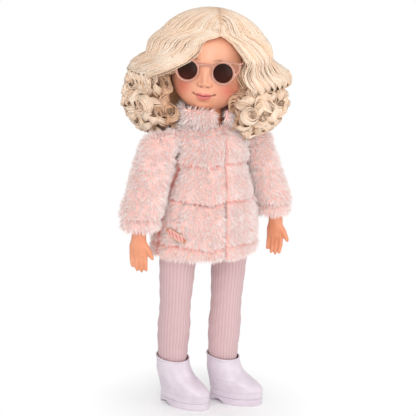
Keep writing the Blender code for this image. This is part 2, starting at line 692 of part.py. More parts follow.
def hand_axes(side):
    """The hand's own axes: towards the thumb, and out of the palm."""
    turn = math.radians(PALM_TURN[side])
    sign = SIDES[side]
    thumb = Vector((-sign * math.sin(turn), -math.cos(turn), 0))
    palm = Vector((-sign * math.cos(turn), math.sin(turn), 0))
    return thumb, palm


def flat_ring(centre, wide, thick, side, count=HAND_SIDES):
    thumb, palm = hand_axes(side)
    ring = []
    for i in range(count):
        angle = 2 * math.pi * i / count
        ring.append(centre + thumb * wide * math.cos(angle) + palm * thick * math.sin(angle))
    return ring


def taper(name, points, radii, parent):
    """A finger: level rings down a path, with a round tip."""
    rings = []
    for point, radius in zip(points, radii):
        rings.append([point + p for p in oval(radius, radius, 0, 6)])
    return capped(name, rings, None, parent)


def make_hand(arm, side, shoulder):
    wrist = arm_point(side, 1, 1, 1)
    thumb, palm = hand_axes(side)
    down = Vector((0, 0, -1))
    knuckles = wrist + down * PALM_LENGTH
    pitch = 2 * (PALM_HALF_WIDTH - FINGER_RADIUS) / 3 * 0.93
    for i, length_share in enumerate(FINGER_LENGTH_SHARES):
        across = thumb * pitch * (1.5 - i)
        length = FINGER_LENGTH * length_share
        path = []
        for share in (-0.35, 0.0, 0.5, 0.86, 1.0):
            curl = palm * FINGER_RADIUS * 1.3 * max(0.0, share) ** 2
            path.append(knuckles + across + curl + down * length * share)
        sizes = [FINGER_RADIUS * s for s in (1.0, 1.0, 0.96, 0.80, 0.36)]
        boolean(arm, taper("finger", path, sizes, shoulder), "UNION")
    root = wrist + down * PALM_LENGTH * 0.30 + thumb * PALM_HALF_WIDTH * 0.45
    path = []
    for share in (0.0, 0.3, 0.6, 0.88, 1.0):
        spread = thumb * THUMB_LENGTH * 0.58 * share ** 0.8
        path.append(root + spread + down * THUMB_LENGTH * share)
    sizes = [THUMB_RADIUS * s for s in (1.05, 1.1, 1.0, 0.80, 0.36)]
    boolean(arm, taper("thumb", path, sizes, shoulder), "UNION")


def arm_radius(share):
    return blend(SHOULDER_RADIUS, WRIST_RADIUS, share)


def arm_rings(side, inset, deepest):
    """Level rings from the cap of the shoulder down towards the wrist."""
    rings = []
    radius = SHOULDER_RADIUS - inset
    for step in (0.93, 0.7, 0.35, 0.0):
        size = radius * math.sqrt(1 - step * step)
        centre = (SIDES[side] * ARM_X, 0)
        rings.append(oval(size, size, SHOULDER_HEIGHT + radius * step, HAND_SIDES, centre))
    for drop, out, forward, share in ARM_SHARES:
        if drop <= deepest:
            size = arm_radius(share) - inset
            rings.append(flat_ring(arm_point(side, drop, out, forward), size, size, side))
    return rings


def make_arm(side, shoulder):
    outer = arm_rings(side, 0.0, 1.0)
    wrist = arm_point(side, 1, 1, 1)
    for share, wide, thick in PALM_SHARES:
        centre = wrist - Vector((0, 0, PALM_LENGTH * share))
        outer.append(flat_ring(centre, PALM_HALF_WIDTH * wide, PALM_HALF_THICKNESS * thick, side))
    arm = capped(f"arm_{side}", align(outer), "skin_vinyl", shoulder)
    boolean(arm, capped("arm_core", align(arm_rings(side, ARM_WALL, 0.9)), None, shoulder))
    start = (SIDES[side] * (CHEST_HALF_WIDTH - CUT_OVERRUN), 0, SHOULDER_HEIGHT)
    end = (SIDES[side] * ARM_X, 0, SHOULDER_HEIGHT)
    boolean(arm, rod("cord_hole", start, end, CORD_RADIUS + CORD_CLEARANCE, None, shoulder))
    make_hand(arm, side, shoulder)
    return arm


def align(rings):
    """Starts each ring at its point in the same direction, and runs them the same way round."""
    made = []
    for ring in rings:
        middle = sum(ring, Vector()) / len(ring)
        order = sorted(ring, key=lambda p: math.atan2(p.y - middle.y, p.x - middle.x))
        made.append(order)
    return made


def sleeve_top(side):
    return Vector((SIDES[side] * (ARM_X + SLEEVE_OUT), 0, SHOULDER_HEIGHT))


def sleeve_end(side):
    return arm_point(side, SLEEVE_END_SHARE, SLEEVE_END_SHARE - 0.03, 0.6)


def sleeve_rings(side, inset, cuff=False):
    """Level rings from the dome over the shoulder down to the cuff."""
    top, end = sleeve_top(side), sleeve_end(side)
    length = top.z - end.z
    rings = []
    if cuff:
        for share in (0.0, 0.35, 0.7, 1.0):
            swell = math.sin(math.pi * blend(0.25, 0.85, share))
            radius = blend(CUFF_RADIUS - PUFF, CUFF_RADIUS, swell) - inset
            centre = Vector((end.x, end.y, end.z + GAP + CUFF_HEIGHT * (1 - share)))
            rings.append(oval(radius, radius, centre.z, SLEEVE_SIDES, centre.xy))
        return rings
    radius = SLEEVE_RADIUS - inset
    for lift, size, lean in reversed(SLEEVE_DOME_SHARES):
        centre = (top.x - SIDES[side] * SLEEVE_OUT * lean, top.y)
        rings.append(oval(radius * size, radius * size, top.z + radius * lift, SLEEVE_SIDES, centre))
    body = length - CUFF_HEIGHT - 2 * GAP
    for share, out, size in SLEEVE_SHARES:
        x = blend(top.x, end.x, out)
        y = blend(top.y, end.y, share)
        girth = SLEEVE_RADIUS * size - inset
        rings.append(oval(girth, girth, top.z - body * share, SLEEVE_SIDES, (x, y)))
    return rings


def make_sleeve(side, shoulder):
    outer, inner = sleeve_rings(side, 0.0), sleeve_rings(side, SLEEVE_WALL)
    sleeve = capped(f"sleeve_{side}", outer + inner[::-1], "fur", shoulder)
    far = ARM_X + WRIST_OUT + SLEEVE_RADIUS
    low = (-ARMHOLE_X, -far, SHOULDER_HEIGHT - WRIST_DROP)
    high = (ARMHOLE_X, far, SHOULDER_HEIGHT + SLEEVE_RADIUS + CUT_OVERRUN)
    boolean(sleeve, box("armhole_side", low, high, shoulder))
    room = arm_rings(side, -SLEEVE_CLEARANCE, SLEEVE_END_SHARE)
    boolean(sleeve, capped("arm_room", align(room), None, shoulder))
    outer, inner = sleeve_rings(side, 0.0, True), sleeve_rings(side, SLEEVE_WALL, True)
    columns = [[ring[i] for ring in outer] for i in range(SLEEVE_SIDES)]
    backs = [[ring[i] for ring in inner] for i in range(SLEEVE_SIDES)]
    panel(f"cuff_{side}", columns, backs, "fur", shoulder, wrap=True)


# Jacket

def swell(share):
    return PUFF * math.sin(math.pi * share) ** 0.7


def jacket_size(height, inset):
    """Half width and half depth of the jacket at a height. inset 0 is outside, JACKET_WALL inside."""
    if height >= CHEST_SEAM:
        share = (height - CHEST_SEAM) / (COLLAR_FOOT - CHEST_SEAM)
        wide = YOKE_IN_WIDTH + JACKET_WALL
        deep = YOKE_IN_DEPTH + JACKET_WALL
        neck = COLLAR_IN + COLLAR_WALL
        close = max(0.0, (share - 0.62) / 0.38) ** 1.6
        bulge = 0.0 if inset else swell(min(1.0, share * 1.1))
        return blend(wide, neck, close) - inset, blend(deep + bulge, neck, close) - inset
    if height >= WAIST_SEAM:
        share = (height - WAIST_SEAM) / (CHEST_SEAM - WAIST_SEAM)
        low = waist_size()
        wide = blend(low[0], YOKE_IN_WIDTH, min(1.0, share * 1.35) ** 1.1)
        deep = blend(low[1], YOKE_IN_DEPTH, share)
        bulge = 0.0 if inset else swell(share)
        edge = JACKET_WALL - inset
        return wide + edge + bulge * (1 - min(1.0, share * 1.35)), deep + edge + bulge
    share = (height - HEM) / (WAIST_SEAM - HEM)
    low = waist_size()
    wide, deep = blend(SKIRT_IN_WIDTH, low[0], share ** 1.6), blend(SKIRT_IN_DEPTH, low[1], share)
    above = height >= HEM_SEAM
    span = (height - HEM_SEAM) / (WAIST_SEAM - HEM_SEAM) if above else (height - HEM) / HEM_BAND_HEIGHT
    bulge = 0.0 if inset else swell(max(0.0, span)) * (0.5 if above else 0.6)
    edge = JACKET_WALL - inset
    return wide + edge + bulge, deep + edge + bulge


def waist_size():
    hips = (LEG_X + LEG_OUTER) * HIP_WIDTH_SHARE + JACKET_CLEARANCE
    return max(SKIRT_IN_WIDTH * 0.875, hips), SKIRT_IN_DEPTH * 0.97


def jacket_point(angle, height, inset):
    wide, deep = jacket_size(height, inset)
    return Vector((wide * math.sin(angle), -deep * math.cos(angle), height))


def tier(name, heights, ends, parent=None, columns=JACKET_SIDES):
    """A band of the jacket. ends gives its end angles at a height and inset, or None for a full ring."""
    outer, inner = [], []
    for i in range(columns if ends is None else columns + 1):
        front, back = [], []
        for height in heights:
            for line, inset in ((front, 0.0), (back, JACKET_WALL)):
                if ends is None:
                    angle = 2 * math.pi * i / columns
                else:
                    angle = blend(*ends(height, inset), i / columns)
                line.append(jacket_point(angle, height, inset))
        outer.append(front)
        inner.append(back)
    return panel(name, outer, inner, "fur", parent, wrap=ends is None)


def plane_angle(height, inset, y):
    """The angle at which the jacket's outline crosses a plane in front of the doll's middle."""
    return math.acos(y / jacket_size(height, inset)[1])


def front_ends(sign):
    def ends(height, inset):
        near = math.asin(GAP / jacket_size(height, inset)[0])
        far = plane_angle(height, inset, FLAP_Y)
        return (near, far) if sign > 0 else (-far, -near)
    return ends


def side_ends(sign):
    def ends(height, inset):
        near = plane_angle(height, inset, FLAP_Y - SEAM_GAP)
        far = plane_angle(height, inset, BACK_Y + SEAM_GAP)
        return (near, far) if sign > 0 else (-far, -near)
    return ends


def back_ends(height, inset):
    angle = plane_angle(height, inset, BACK_Y)
    return angle, 2 * math.pi - angle


def placket_ends(height, inset):
    wide = jacket_size(height, 0.0)[0]
    return math.asin(GAP / wide), math.asin(PLACKET_WIDTH / wide)


def make_jacket(skirts):
    yoke = tier("jacket_yoke", levels(*YOKE_SPAN, YOKE_ROWS), None)
    reach = YOKE_IN_WIDTH + JACKET_WALL + CUT_OVERRUN
    hole = SHOULDER_RADIUS + JACKET_CLEARANCE
    for sign in SIDES.values():
        start = (sign * (YOKE_IN_WIDTH - CUT_OVERRUN), 0, SHOULDER_HEIGHT)
        boolean(yoke, rod("armhole", start, (sign * reach, 0, SHOULDER_HEIGHT), hole, None, count=24))
    tier("jacket_waist_tier", levels(*WAIST_SPAN, WAIST_ROWS), None)
    skirt, hem = levels(*SKIRT_SPAN, SKIRT_ROWS), levels(*HEM_SPAN, HEM_ROWS)
    for name, heights in (("skirt", skirt), ("hem_band", hem)):
        tier(f"{name}_back", heights, back_ends, columns=14)
        for side, sign in SIDES.items():
            relieve(tier(f"{name}_front_{side}", heights, front_ends(sign), skirts[side], 8))
            tier(f"{name}_side_{side}", heights, side_ends(sign), None, 5)
    make_placket(skirts["left"])
    make_collar()
    make_patch(skirts["right"])


def relieve(flap):
    """Lowers a flap's top edge towards its sides, so that it clears the waist as it swings back."""
    for vertex in flap.data.vertices:
        share = (vertex.co.z + flap.parent.location.z - HEM_SEAM) / (WAIST_SEAM - HEM_SEAM)
        vertex.co.z -= max(0.0, share) * vertex.co.y * math.tan(math.radians(HIP_BACK))


def levels(low, high, rows):
    return [blend(low, high, j / rows) for j in range(rows + 1)]


def make_placket(skirt):
    """The strip of fur over the closure, in an upper and a lower length, and the tapes under it."""
    waist = levels(*WAIST_SPAN, WAIST_ROWS)
    yoke = levels(*YOKE_SPAN, YOKE_ROWS)
    hem, skirt_rows = levels(*HEM_SPAN, HEM_ROWS), levels(*SKIRT_SPAN, SKIRT_ROWS)
    lift = 2 * GAP
    strip("placket_upper", waist + yoke[:-1], lift, PLACKET_THICKNESS, placket_ends, "fur", None)
    relieve(strip("placket_lower", hem + skirt_rows, lift, PLACKET_THICKNESS, placket_ends, "fur", skirt))
    for kind in ("hook", "loop"):
        lift = -lift - CLOSURE_THICKNESS if kind == "hook" else lift - GAP - CLOSURE_THICKNESS
        size = (lift, CLOSURE_THICKNESS, tape_ends, "closure_tape", None, JACKET_WALL)
        strip(f"closure_{kind}_tape", yoke[:-2], *size)


def tape_ends(height, inset):
    wide = jacket_size(height, JACKET_WALL)[0]
    half = math.asin(CLOSURE_WIDTH / 2 / wide)
    return -half, half


def strip(name, heights, lift, thick, ends, slot, parent, inset=0.0):
    """A thin band that follows the jacket, with its back at the given lift off the inset surface."""
    columns = 3
    outer, inner = [], []
    for i in range(columns + 1):
        front, back = [], []
        for height in heights:
            start, stop = ends(height, inset)
            point = jacket_point(blend(start, stop, i / columns), height, inset)
            out = Vector((point.x, point.y, 0)).normalized()
            front.append(point + out * (lift + thick))
            back.append(point + out * lift)
        outer.append(front)
        inner.append(back)
    return panel(name, outer, inner, slot, parent)


def make_collar():
    outer, inner = [], []
    opening = math.radians(COLLAR_OPENING)
    columns = 20
    low, high = COLLAR_FOOT + GAP, COLLAR_FOOT + COLLAR_HEIGHT
    for i in range(columns + 1):
        angle = blend(opening, 2 * math.pi - opening, i / columns)
        front, back = [], []
        for j in range(4):
            share = j / 3
            flare = COLLAR_WALL * 0.25 * share
            bulge = PUFF * math.sin(math.pi * share) * 0.5
            height = blend(low, high, share)
            out = COLLAR_IN + COLLAR_WALL + bulge + flare * 0.4
            front.append(Vector((out * math.sin(angle), -out * math.cos(angle), height)))
            into = COLLAR_IN + flare
            back.append(Vector((into * math.sin(angle), -into * math.cos(angle), height)))
        outer.append(front)
        inner.append(back)
    return panel("jacket_collar", outer, inner, "fur")


def make_patch(skirt):
    """A small stitched tab on the right front, near the hem."""
    angle = math.radians(PATCH_ANGLE)
    middle_height = HEM_SEAM + PATCH_RISE
    wide, deep = jacket_size(middle_height, 0.0)
    radius = math.hypot(wide * math.sin(angle), deep * math.cos(angle))
    tilt = math.radians(PATCH_TILT)
    outer, inner = [], []
    for i in range(7):
        u = blend(-1, 1, i / 6)
        reach = math.sqrt(max(0.0, 1 - abs(u) ** 3))
        front, back = [], []
        for j in range(4):
            v = blend(-1, 1, j / 3) * max(0.35, reach)
            across = u * PATCH_LENGTH / 2 * math.cos(tilt) + v * PATCH_HEIGHT / 2 * math.sin(tilt)
            up = -u * PATCH_LENGTH / 2 * math.sin(tilt) + v * PATCH_HEIGHT / 2 * math.cos(tilt)
            point = jacket_point(angle + across / radius, middle_height + up, 0.0)
            out = Vector((point.x / wide ** 2, point.y / deep ** 2, 0)).normalized()
            front.append(point + out * (GAP + PATCH_THICKNESS))
            back.append(point + out * GAP)
        outer.append(front)
        inner.append(back)
    return panel("jacket_patch", outer, inner, "patch_cloth", skirt)


def make_tights_waist():
    """The seat of the tights, round the stuffed hips."""
    top = (WAIST_SEAM + SEAM_GAP - TORSO_BOTTOM) / (TORSO_TOP - TORSO_BOTTOM)
    shares = [row[0] for row in SEAT_SHARES if row[0] < top] + [top]
    outer, inner = [], []
    for i in range(JACKET_SIDES):
        angle = 2 * math.pi * i / JACKET_SIDES
        front, back = [], []
        for share in shares:
            height = blend(TORSO_BOTTOM, TORSO_TOP, share)
            wide, deep = torso_size(height)
            for line, grow in ((front, 2 * GAP + TIGHTS_WALL), (back, 2 * GAP)):
                x, y = (wide + grow) * math.sin(angle), -(deep + grow) * math.cos(angle)
                line.append(Vector((x, y, height)))
        outer.append(front)
        inner.append(back)
    return panel("tights_waist", outer, inner, "tights", wrap=True)


# Head, eyes, sunglasses and hair, modelled facing -Y and then turned as worn

def worn():
    """The turn and tilt of the head at rest, about the top of the neck."""
    pivot = Matrix.Translation((0, 0, HEAD_BASE))
    return pivot @ Matrix.Rotation(math.radians(HEAD_YAW), 4, "Z") @ rolled() @ pivot.inverted()


def rolled():
    return Matrix.Rotation(math.radians(HEAD_ROLL), 4, "Y")


def bump(value, middle, spread):
    return math.exp(-((value - middle) / spread) ** 2)


def head_point(azimuth, latitude, inset=0.0):
    """A point of the head. Azimuth 0 is the face, latitude 90 the crown, both in degrees."""
    a, b = math.radians(azimuth), math.radians(latitude)
    up = HEAD_UP if latitude > 0 else HEAD_DOWN
    x = HEAD_HALF_WIDTH * math.cos(b) * math.sin(a)
    y = -HEAD_HALF_DEPTH * math.cos(b) * math.cos(a)
    z = up * math.sin(b)
    low = max(0.0, -math.sin(b))
    face = max(0.0, math.cos(a))
    cheek = 1 + 0.13 * bump(latitude, -28, 20) - 0.10 * max(0.0, low - 0.75)
    x *= cheek
    y *= 1 + 0.05 * bump(latitude, -30, 26) * face - 0.20 * low * max(0.0, -math.cos(a))
    point = Vector((x, y, z))
    detail = 0.0
    if not inset:
        turn = math.degrees(a)
        turn = (turn + 180) % 360 - 180
        detail += HEAD_HALF_DEPTH * 0.125 * bump(turn, 0, 6.0) * bump(latitude, -26, 7)
        detail += HEAD_HALF_DEPTH * 0.060 * bump(turn, 0, 5.0) * bump(latitude, -12, 11)
        detail += HEAD_HALF_DEPTH * 0.045 * bump(turn, 0, 13.0) * bump(latitude, -41, 3.4)
        detail += HEAD_HALF_DEPTH * 0.040 * bump(turn, 0, 12.0) * bump(latitude, -47.5, 3.4)
        detail += HEAD_HALF_DEPTH * 0.070 * bump(turn, 0, 16.0) * bump(latitude, -62, 8)
        detail -= HEAD_HALF_DEPTH * 0.040 * bump(abs(turn), 24, 9.0) * bump(latitude, -8, 8)
        detail += HEAD_HALF_WIDTH * 0.10 * bump(abs(turn), 96, 7.0) * bump(latitude, -10, 14)
    length = point.length
    return HEAD_CENTRE + point * ((length + detail - inset) / length)


def head_rings(inset, rows, low, count):
    rings = []
    for j in range(rows):
        latitude = blend(86, low, j / (rows - 1))
        rings.append([head_point(360 * i / count, latitude, inset) for i in range(count)])
    return rings


def socket_ring(radius, height):
    """A ring of the neck socket, which stays level while the head tilts."""
    pivot = Matrix.Translation((0, 0, HEAD_BASE))
    level = pivot @ rolled().inverted() @ pivot.inverted()
    return [level @ p for p in oval(radius, radius, height, HEAD_SIDES)]


def make_head(neck):
    outer = head_rings(0.0, 17, -62, HEAD_SIDES)
    inner = head_rings(HEAD_WALL, 6, -52, HEAD_SIDES)
    bore, lift = PLUG_RADIUS + GAP, HEAD_BASE + BASE_WALL
    base = [socket_ring(BASE_RADIUS, HEAD_BASE), socket_ring(bore, HEAD_BASE)]
    base += [socket_ring(bore, lift), socket_ring(BASE_RADIUS * 0.88, lift)]
    head = capped("head_shell", outer + base + inner[::-1], None)
    for sign in SIDES.values():
        eye = eye_centre(sign)
        room = EYE_RADIUS + EYE_CLEARANCE
        reach = room + WELL_WALL
        front = Vector((eye.x, HEAD_CENTRE.y - HEAD_HALF_DEPTH, eye.z))
        back = eye + Vector((0, WELL_BACK, 0))
        well = rod("well", front, back, reach, None, count=16)
        core = capped("face_core", head_rings(HEAD_WALL / 2, 10, -52, HEAD_SIDES), None)
        boolean(well, core, "INTERSECT")
        boolean(head, well, "UNION")
        start = eye - Vector((0, room, 0))
        boolean(head, rod("well_bore", start, back + Vector((0, CUT_OVERRUN, 0)), room, None, count=16))
        far = front - Vector((0, CUT_OVERRUN, 0))
        boolean(head, rod("eye_opening", far, eye, EYE_OPENING_RADIUS, None, count=16))
        pins = [eye + Vector((s * (reach + CUT_OVERRUN / 4), 0, 0)) for s in (-1, 1)]
        boolean(head, rod("pin_hole", pins[0], pins[1], PIN_RADIUS + GAP, None, count=8))
    return hang(head, "skin_vinyl", neck, worn())


def eye_centre(sign):
    return HEAD_CENTRE + Vector((sign * EYE_OUT, -EYE_FORWARD, -EYE_DROP))


def make_eye(side, axle):
    eye = eye_centre(SIDES[side])
    globe = ball(f"eye_{side}", eye, EYE_RADIUS, "eye", axle, worn(), 12, 8)
    reach = EYE_RADIUS + EYE_CLEARANCE + WELL_WALL * 0.9
    ends = [eye + Vector((s * reach, 0, 0)) for s in (-1, 1)]
    boolean(globe, rod("pins", ends[0], ends[1], PIN_RADIUS, None, axle, worn(), 8), "UNION")
    down = Vector((0, 1, -1)).normalized()
    near, far = eye + down * (EYE_RADIUS + GAP), eye + down * WEIGHT_ARM
    stem = rod(f"eye_weight_{side}", near, far, WEIGHT_STEM_RADIUS, "weight_metal", axle, worn(), 6)
    bob = ball("bob", far, WEIGHT_RADIUS, None, axle, worn(), 8, 6)
    boolean(stem, bob, "UNION")
    return globe


def lens_centre(sign):
    return HEAD_CENTRE + Vector((sign * LENS_SPACING / 2, -FRAME_FORWARD, -FRAME_DROP))


def bar_between(name, points, thick, tall, parent=None, place=None):
    """A flat bar through points, upright."""
    rings = []
    level = Vector((0, 1, 0))
    for i, point in enumerate(points):
        before, after = points[max(0, i - 1)], points[min(len(points) - 1, i + 1)]
        way = (after - before).normalized()
        across = Vector((-way.y, way.x, 0))
        if across.length > 0.3:
            level = across.normalized() * math.copysign(1, across.dot(level) or 1)
        rise = way.cross(level).normalized()
        corners = ((-1, -1), (1, -1), (1, 1), (-1, 1))
        rings.append([point + level * thick / 2 * a + rise * tall / 2 * b for a, b in corners])
    return capped(name, rings, None, parent, place)


def wing_tip(sign):
    """The outer corner of the frame, level with the top of its rim."""
    ring = (RIM_OUTER_RADIUS + RIM_INNER_RADIUS) / 2
    return lens_centre(sign) + Vector((sign * WING_REACH, 0, ring * 0.96))


def temple_path(sign):
    """From the tip of the wing back over the ear, clear of the head."""
    start = wing_tip(sign)
    ear = HEAD_HALF_WIDTH * TEMPLE_AT_SHARE + TEMPLE_GAP + BAR / 2
    points = [start]
    for share in (0.25, 0.5, 0.75, 1.0):
        x = min(ear, blend(abs(start.x), ear, share * 1.6))
        drop = HOOK_DROP * max(0.0, share - 0.75) * 2
        points.append(Vector((sign * x, start.y + TEMPLE_LENGTH * share, start.z - drop)))
    return points


def make_rim(name, sign):
    """A round rim with its brow bar, its wing and its temple, facing -Y."""
    centre = lens_centre(sign)
    half = Vector((0, RIM_DEPTH / 2, 0))
    outer, inner = [], []
    for i in range(24):
        angle = 2 * math.pi * (i + 0.5) / 24
        out = Vector((math.cos(angle), 0, math.sin(angle)))
        outer.append([centre + out * RIM_OUTER_RADIUS - half, centre + out * RIM_OUTER_RADIUS + half])
        inner.append([centre + out * RIM_INNER_RADIUS - half, centre + out * RIM_INNER_RADIUS + half])
    rim = panel(name, outer, inner, None, wrap=True)
    ring = (RIM_OUTER_RADIUS + RIM_INNER_RADIUS) / 2
    tip = wing_tip(sign)
    brow = bar_between("brow", [centre + Vector((0, 0, ring)), tip], RIM_DEPTH * 0.92, BAR * 0.8)
    boolean(rim, brow, "UNION")
    foot = math.radians(WING_FOOT_ANGLE)
    low = centre + Vector((sign * ring * math.cos(foot), 0, ring * math.sin(foot)))
    elbow = Vector((tip.x, tip.y, blend(low.z, tip.z, 0.55)))
    wing = bar_between("wing", [tip + Vector((0, 0, BAR * 0.45)), elbow, low], RIM_DEPTH * 0.84, WING_WIDTH)
    boolean(rim, wing, "UNION")
    path = temple_path(sign)
    path[0] = path[0] - half * 0.6
    boolean(rim, bar_between("temple", path, BAR, BAR * 1.16), "UNION")
    return rim


def make_sunglasses(neck):
    frame = make_rim("sunglasses_frame", -1)
    boolean(frame, make_rim("other_rim", 1), "UNION")
    inner = LENS_SPACING / 2 - math.sqrt(RIM_OUTER_RADIUS ** 2 - BRIDGE_RISE ** 2) + BAR * 0.5
    points = []
    for share in (-1.0, -0.6, 0.0, 0.6, 1.0):
        points.append(lens_centre(0) + Vector((share * inner, 0, BRIDGE_RISE - BAR * 0.7 * share * share)))
    boolean(frame, bar_between("bridge", points, RIM_DEPTH * 0.88, BAR * 0.9), "UNION")
    hang(frame, "frame_plastic", neck, worn())
    half = Vector((0, LENS_THICKNESS / 2, 0))
    for side, sign in SIDES.items():
        centre = lens_centre(sign)
        radius = RIM_INNER_RADIUS - LENS_CLEARANCE
        rod(f"lens_{side}", centre - half, centre + half, radius, "lens", neck, worn(), 24)
    return frame


def crown_size(azimuth):
    """How far the hair stands from the middle at the rim of the crown piece."""
    face = max(0.0, math.cos(math.radians(azimuth)))
    back = max(0.0, -math.cos(math.radians(azimuth)))
    return HEAD_HALF_WIDTH * (1.30 - 0.33 * face ** 2 - 0.04 * back)


def make_crown(neck):
    """The rooted hair over the top of the head."""
    count = 22
    rim = HEAD_CENTRE.z + HAIR_RIM_RISE
    top = HEAD_CENTRE.z + HEAD_UP + HAIR_TOP
    outer, inner = [], []
    for step in (0.08, 0.3, 0.52, 0.72, 0.88, 1.0):
        ring = []
        for i in range(count):
            azimuth = 360 * i / count
            a = math.radians(azimuth)
            reach = crown_size(azimuth) * step
            height = rim + (top - rim) * (1 - step ** 2.3)
            turn = (azimuth + 180) % 360 - 180
            part = HAIR_WAVE * 0.5 * bump(turn, PART_AZIMUTH, 9) * step * (1 - step ** 4)
            ring.append(Vector((reach * math.sin(a), HEAD_CENTRE.y - reach * math.cos(a), height - part)))
        outer.append(ring)
    low = math.degrees(math.asin(HAIR_RIM_RISE / (HEAD_UP + HAIR_CLEARANCE)))
    for latitude in (low, blend(low, 86, 0.3), blend(low, 86, 0.65), 86):
        inner.append([head_point(360 * i / count, latitude, -HAIR_CLEARANCE) for i in range(count)])
    for ring in inner[:1]:
        for point in ring:
            point.z = rim
    return capped("hair_crown", outer + inner, "hair", neck, worn())


HAIR_HEIGHT_SHARES = [0.0, 0.09, 0.18, 0.27, 0.36, 0.46, 0.56, 0.66, 0.76, 0.86, 0.94, 1.0]
# How far the hair stands out sideways and behind, down its length, as shares of the head's half width
HAIR_SIDE_SHARES = [
    (0.0, 1.30), (0.12, 1.53), (0.24, 1.68), (0.36, 1.90), (0.47, 2.16), (0.60, 2.20), (0.72, 2.12),
    (0.86, 2.10), (0.94, 1.84), (1.0, 1.46),
]
HAIR_BACK_SHARES = [(0.0, 1.26), (0.2, 1.44), (0.45, 1.56), (0.7, 1.54), (0.88, 1.46), (1.0, 1.16)]
HAIR_FACE_SHARES = [(0.0, 0.97), (0.2, 1.14), (0.5, 1.32), (0.8, 1.46), (1.0, 1.24)]
# The front edge of each side, down its length, in degrees from the middle of the face
LEFT_EDGE_SHARES = [(0.0, 30.0), (0.08, 46.0), (0.2, 55.0), (0.36, 58.0), (0.6, 57.0), (1.0, 52.0)]
RIGHT_EDGE_SHARES = [
    (0.0, -27.0), (0.05, -8.0), (0.12, 11.0), (0.22, 26.0), (0.28, 40.0), (0.36, 57.0), (1.0, 52.0),
]


def hair_radius(azimuth, share):
    """The outside of the hair, as a distance from the neck's axis."""
    turn = abs((azimuth + 180) % 360 - 180)
    side = along(HAIR_SIDE_SHARES, share)[0]
    if turn > 90:
        far = along(HAIR_BACK_SHARES, share)[0]
        part = ((turn - 90) / 90) ** 0.75
    else:
        far = along(HAIR_FACE_SHARES, share)[0]
        part = max(0.0, (84 - turn) / 84) ** 1.2
    part = part * part * (3 - 2 * part) if turn > 90 else min(1.0, part * 1.9)
    reach = HEAD_HALF_WIDTH * blend(side, far, min(1.0, part))
    length = share * (HEAD_CENTRE.z + HAIR_RIM_RISE - HAIR_BOTTOM)
    phase = 2 * math.pi * length / HAIR_WAVE_PITCH + math.radians(turn) * 3.0
    return reach + HAIR_WAVE * math.sin(phase) * min(1.0, share * 3) * (1 - 0.4 * share)


def scalp_radius(azimuth, height):
    """The inside of the hair: off the scalp, and clear of the collar below the chin."""
    a = math.radians(azimuth)
    rise = height - HEAD_CENTRE.z
    up = (HEAD_UP if rise > 0 else HEAD_DOWN) + HAIR_CLEARANCE
    room = math.sqrt(max(0.0, 1 - (rise / up) ** 2)) if abs(rise) < up else 0.0
    grow = 1.15 if rise < 0 else 1.0 + 0.12 * max(0.0, 1 - rise / (HEAD_UP * 0.5))
    wide = HEAD_HALF_WIDTH * room * grow + HAIR_CLEARANCE * 2
    deep = HEAD_HALF_DEPTH * room * (1.04 if rise < 0 else 1.0) + HAIR_CLEARANCE * 2
    reach = wide * deep / math.hypot(deep * math.sin(a), wide * math.cos(a))
    low = min(1.0, max(0.0, (-rise - HEAD_DOWN * 0.35) / (HEAD_DOWN * 0.4)))
    return max(reach + HEAD_BACK * max(0.0, -math.cos(a)), NAPE_RADIUS * low)


def hair_fall(name, edges, neck):
    """A length of hair from the crown piece down. edges gives its two end azimuths, part way down."""
    top = HEAD_CENTRE.z + HAIR_RIM_RISE - 2 * GAP
    columns = HAIR_COLUMNS
    outer, inner = [], []
    for i in range(columns + 1):
        front, back = [], []
        for share in HAIR_HEIGHT_SHARES:
            start, stop = edges(share)
            azimuth = blend(start, stop, i / columns)
            a = math.radians(azimuth)
            reach = hair_radius(azimuth, share)
            level = HAIR_BOTTOM + reach * math.sin(a) * math.tan(math.radians(HEAD_ROLL))
            height = blend(top, level, share)
            within = min(scalp_radius(azimuth, height), reach - HAIR_CLEARANCE * 2)
            shift = HEAD_BACK * (1 - share)
            front.append(Vector((reach * math.sin(a), shift - reach * math.cos(a), height)))
            back.append(Vector((within * math.sin(a), shift - within * math.cos(a), height)))
        outer.append(front)
        inner.append(back)
    return panel(name, outer, inner, "hair", neck, worn())


def make_hair(neck):
    make_crown(neck)
    gap = math.degrees(GAP * 2 / HEAD_HALF_WIDTH)
    falls = [
        hair_fall("hair_left", lambda s: (along(LEFT_EDGE_SHARES, s)[0], BACK_EDGE - gap), neck),
        hair_fall("hair_right", lambda s: (-along(RIGHT_EDGE_SHARES, s)[0] - gap, -BACK_EDGE + gap), neck),
        hair_fall("hair_back", lambda s: (BACK_EDGE, 360 - BACK_EDGE), neck),
    ]
    for fall, sign in zip(falls[:2], (1, -1)):
        path = temple_path(sign)
        half = BAR + TEMPLE_SLOT
        over = Vector((0, CUT_OVERRUN, 0))
        path = [path[0] - over, *path[1:], path[-1] + over]
        slot = bar_between("temple_slot", path, half * 1.5, half * 2.0, neck, worn())
        boolean(fall, slot)


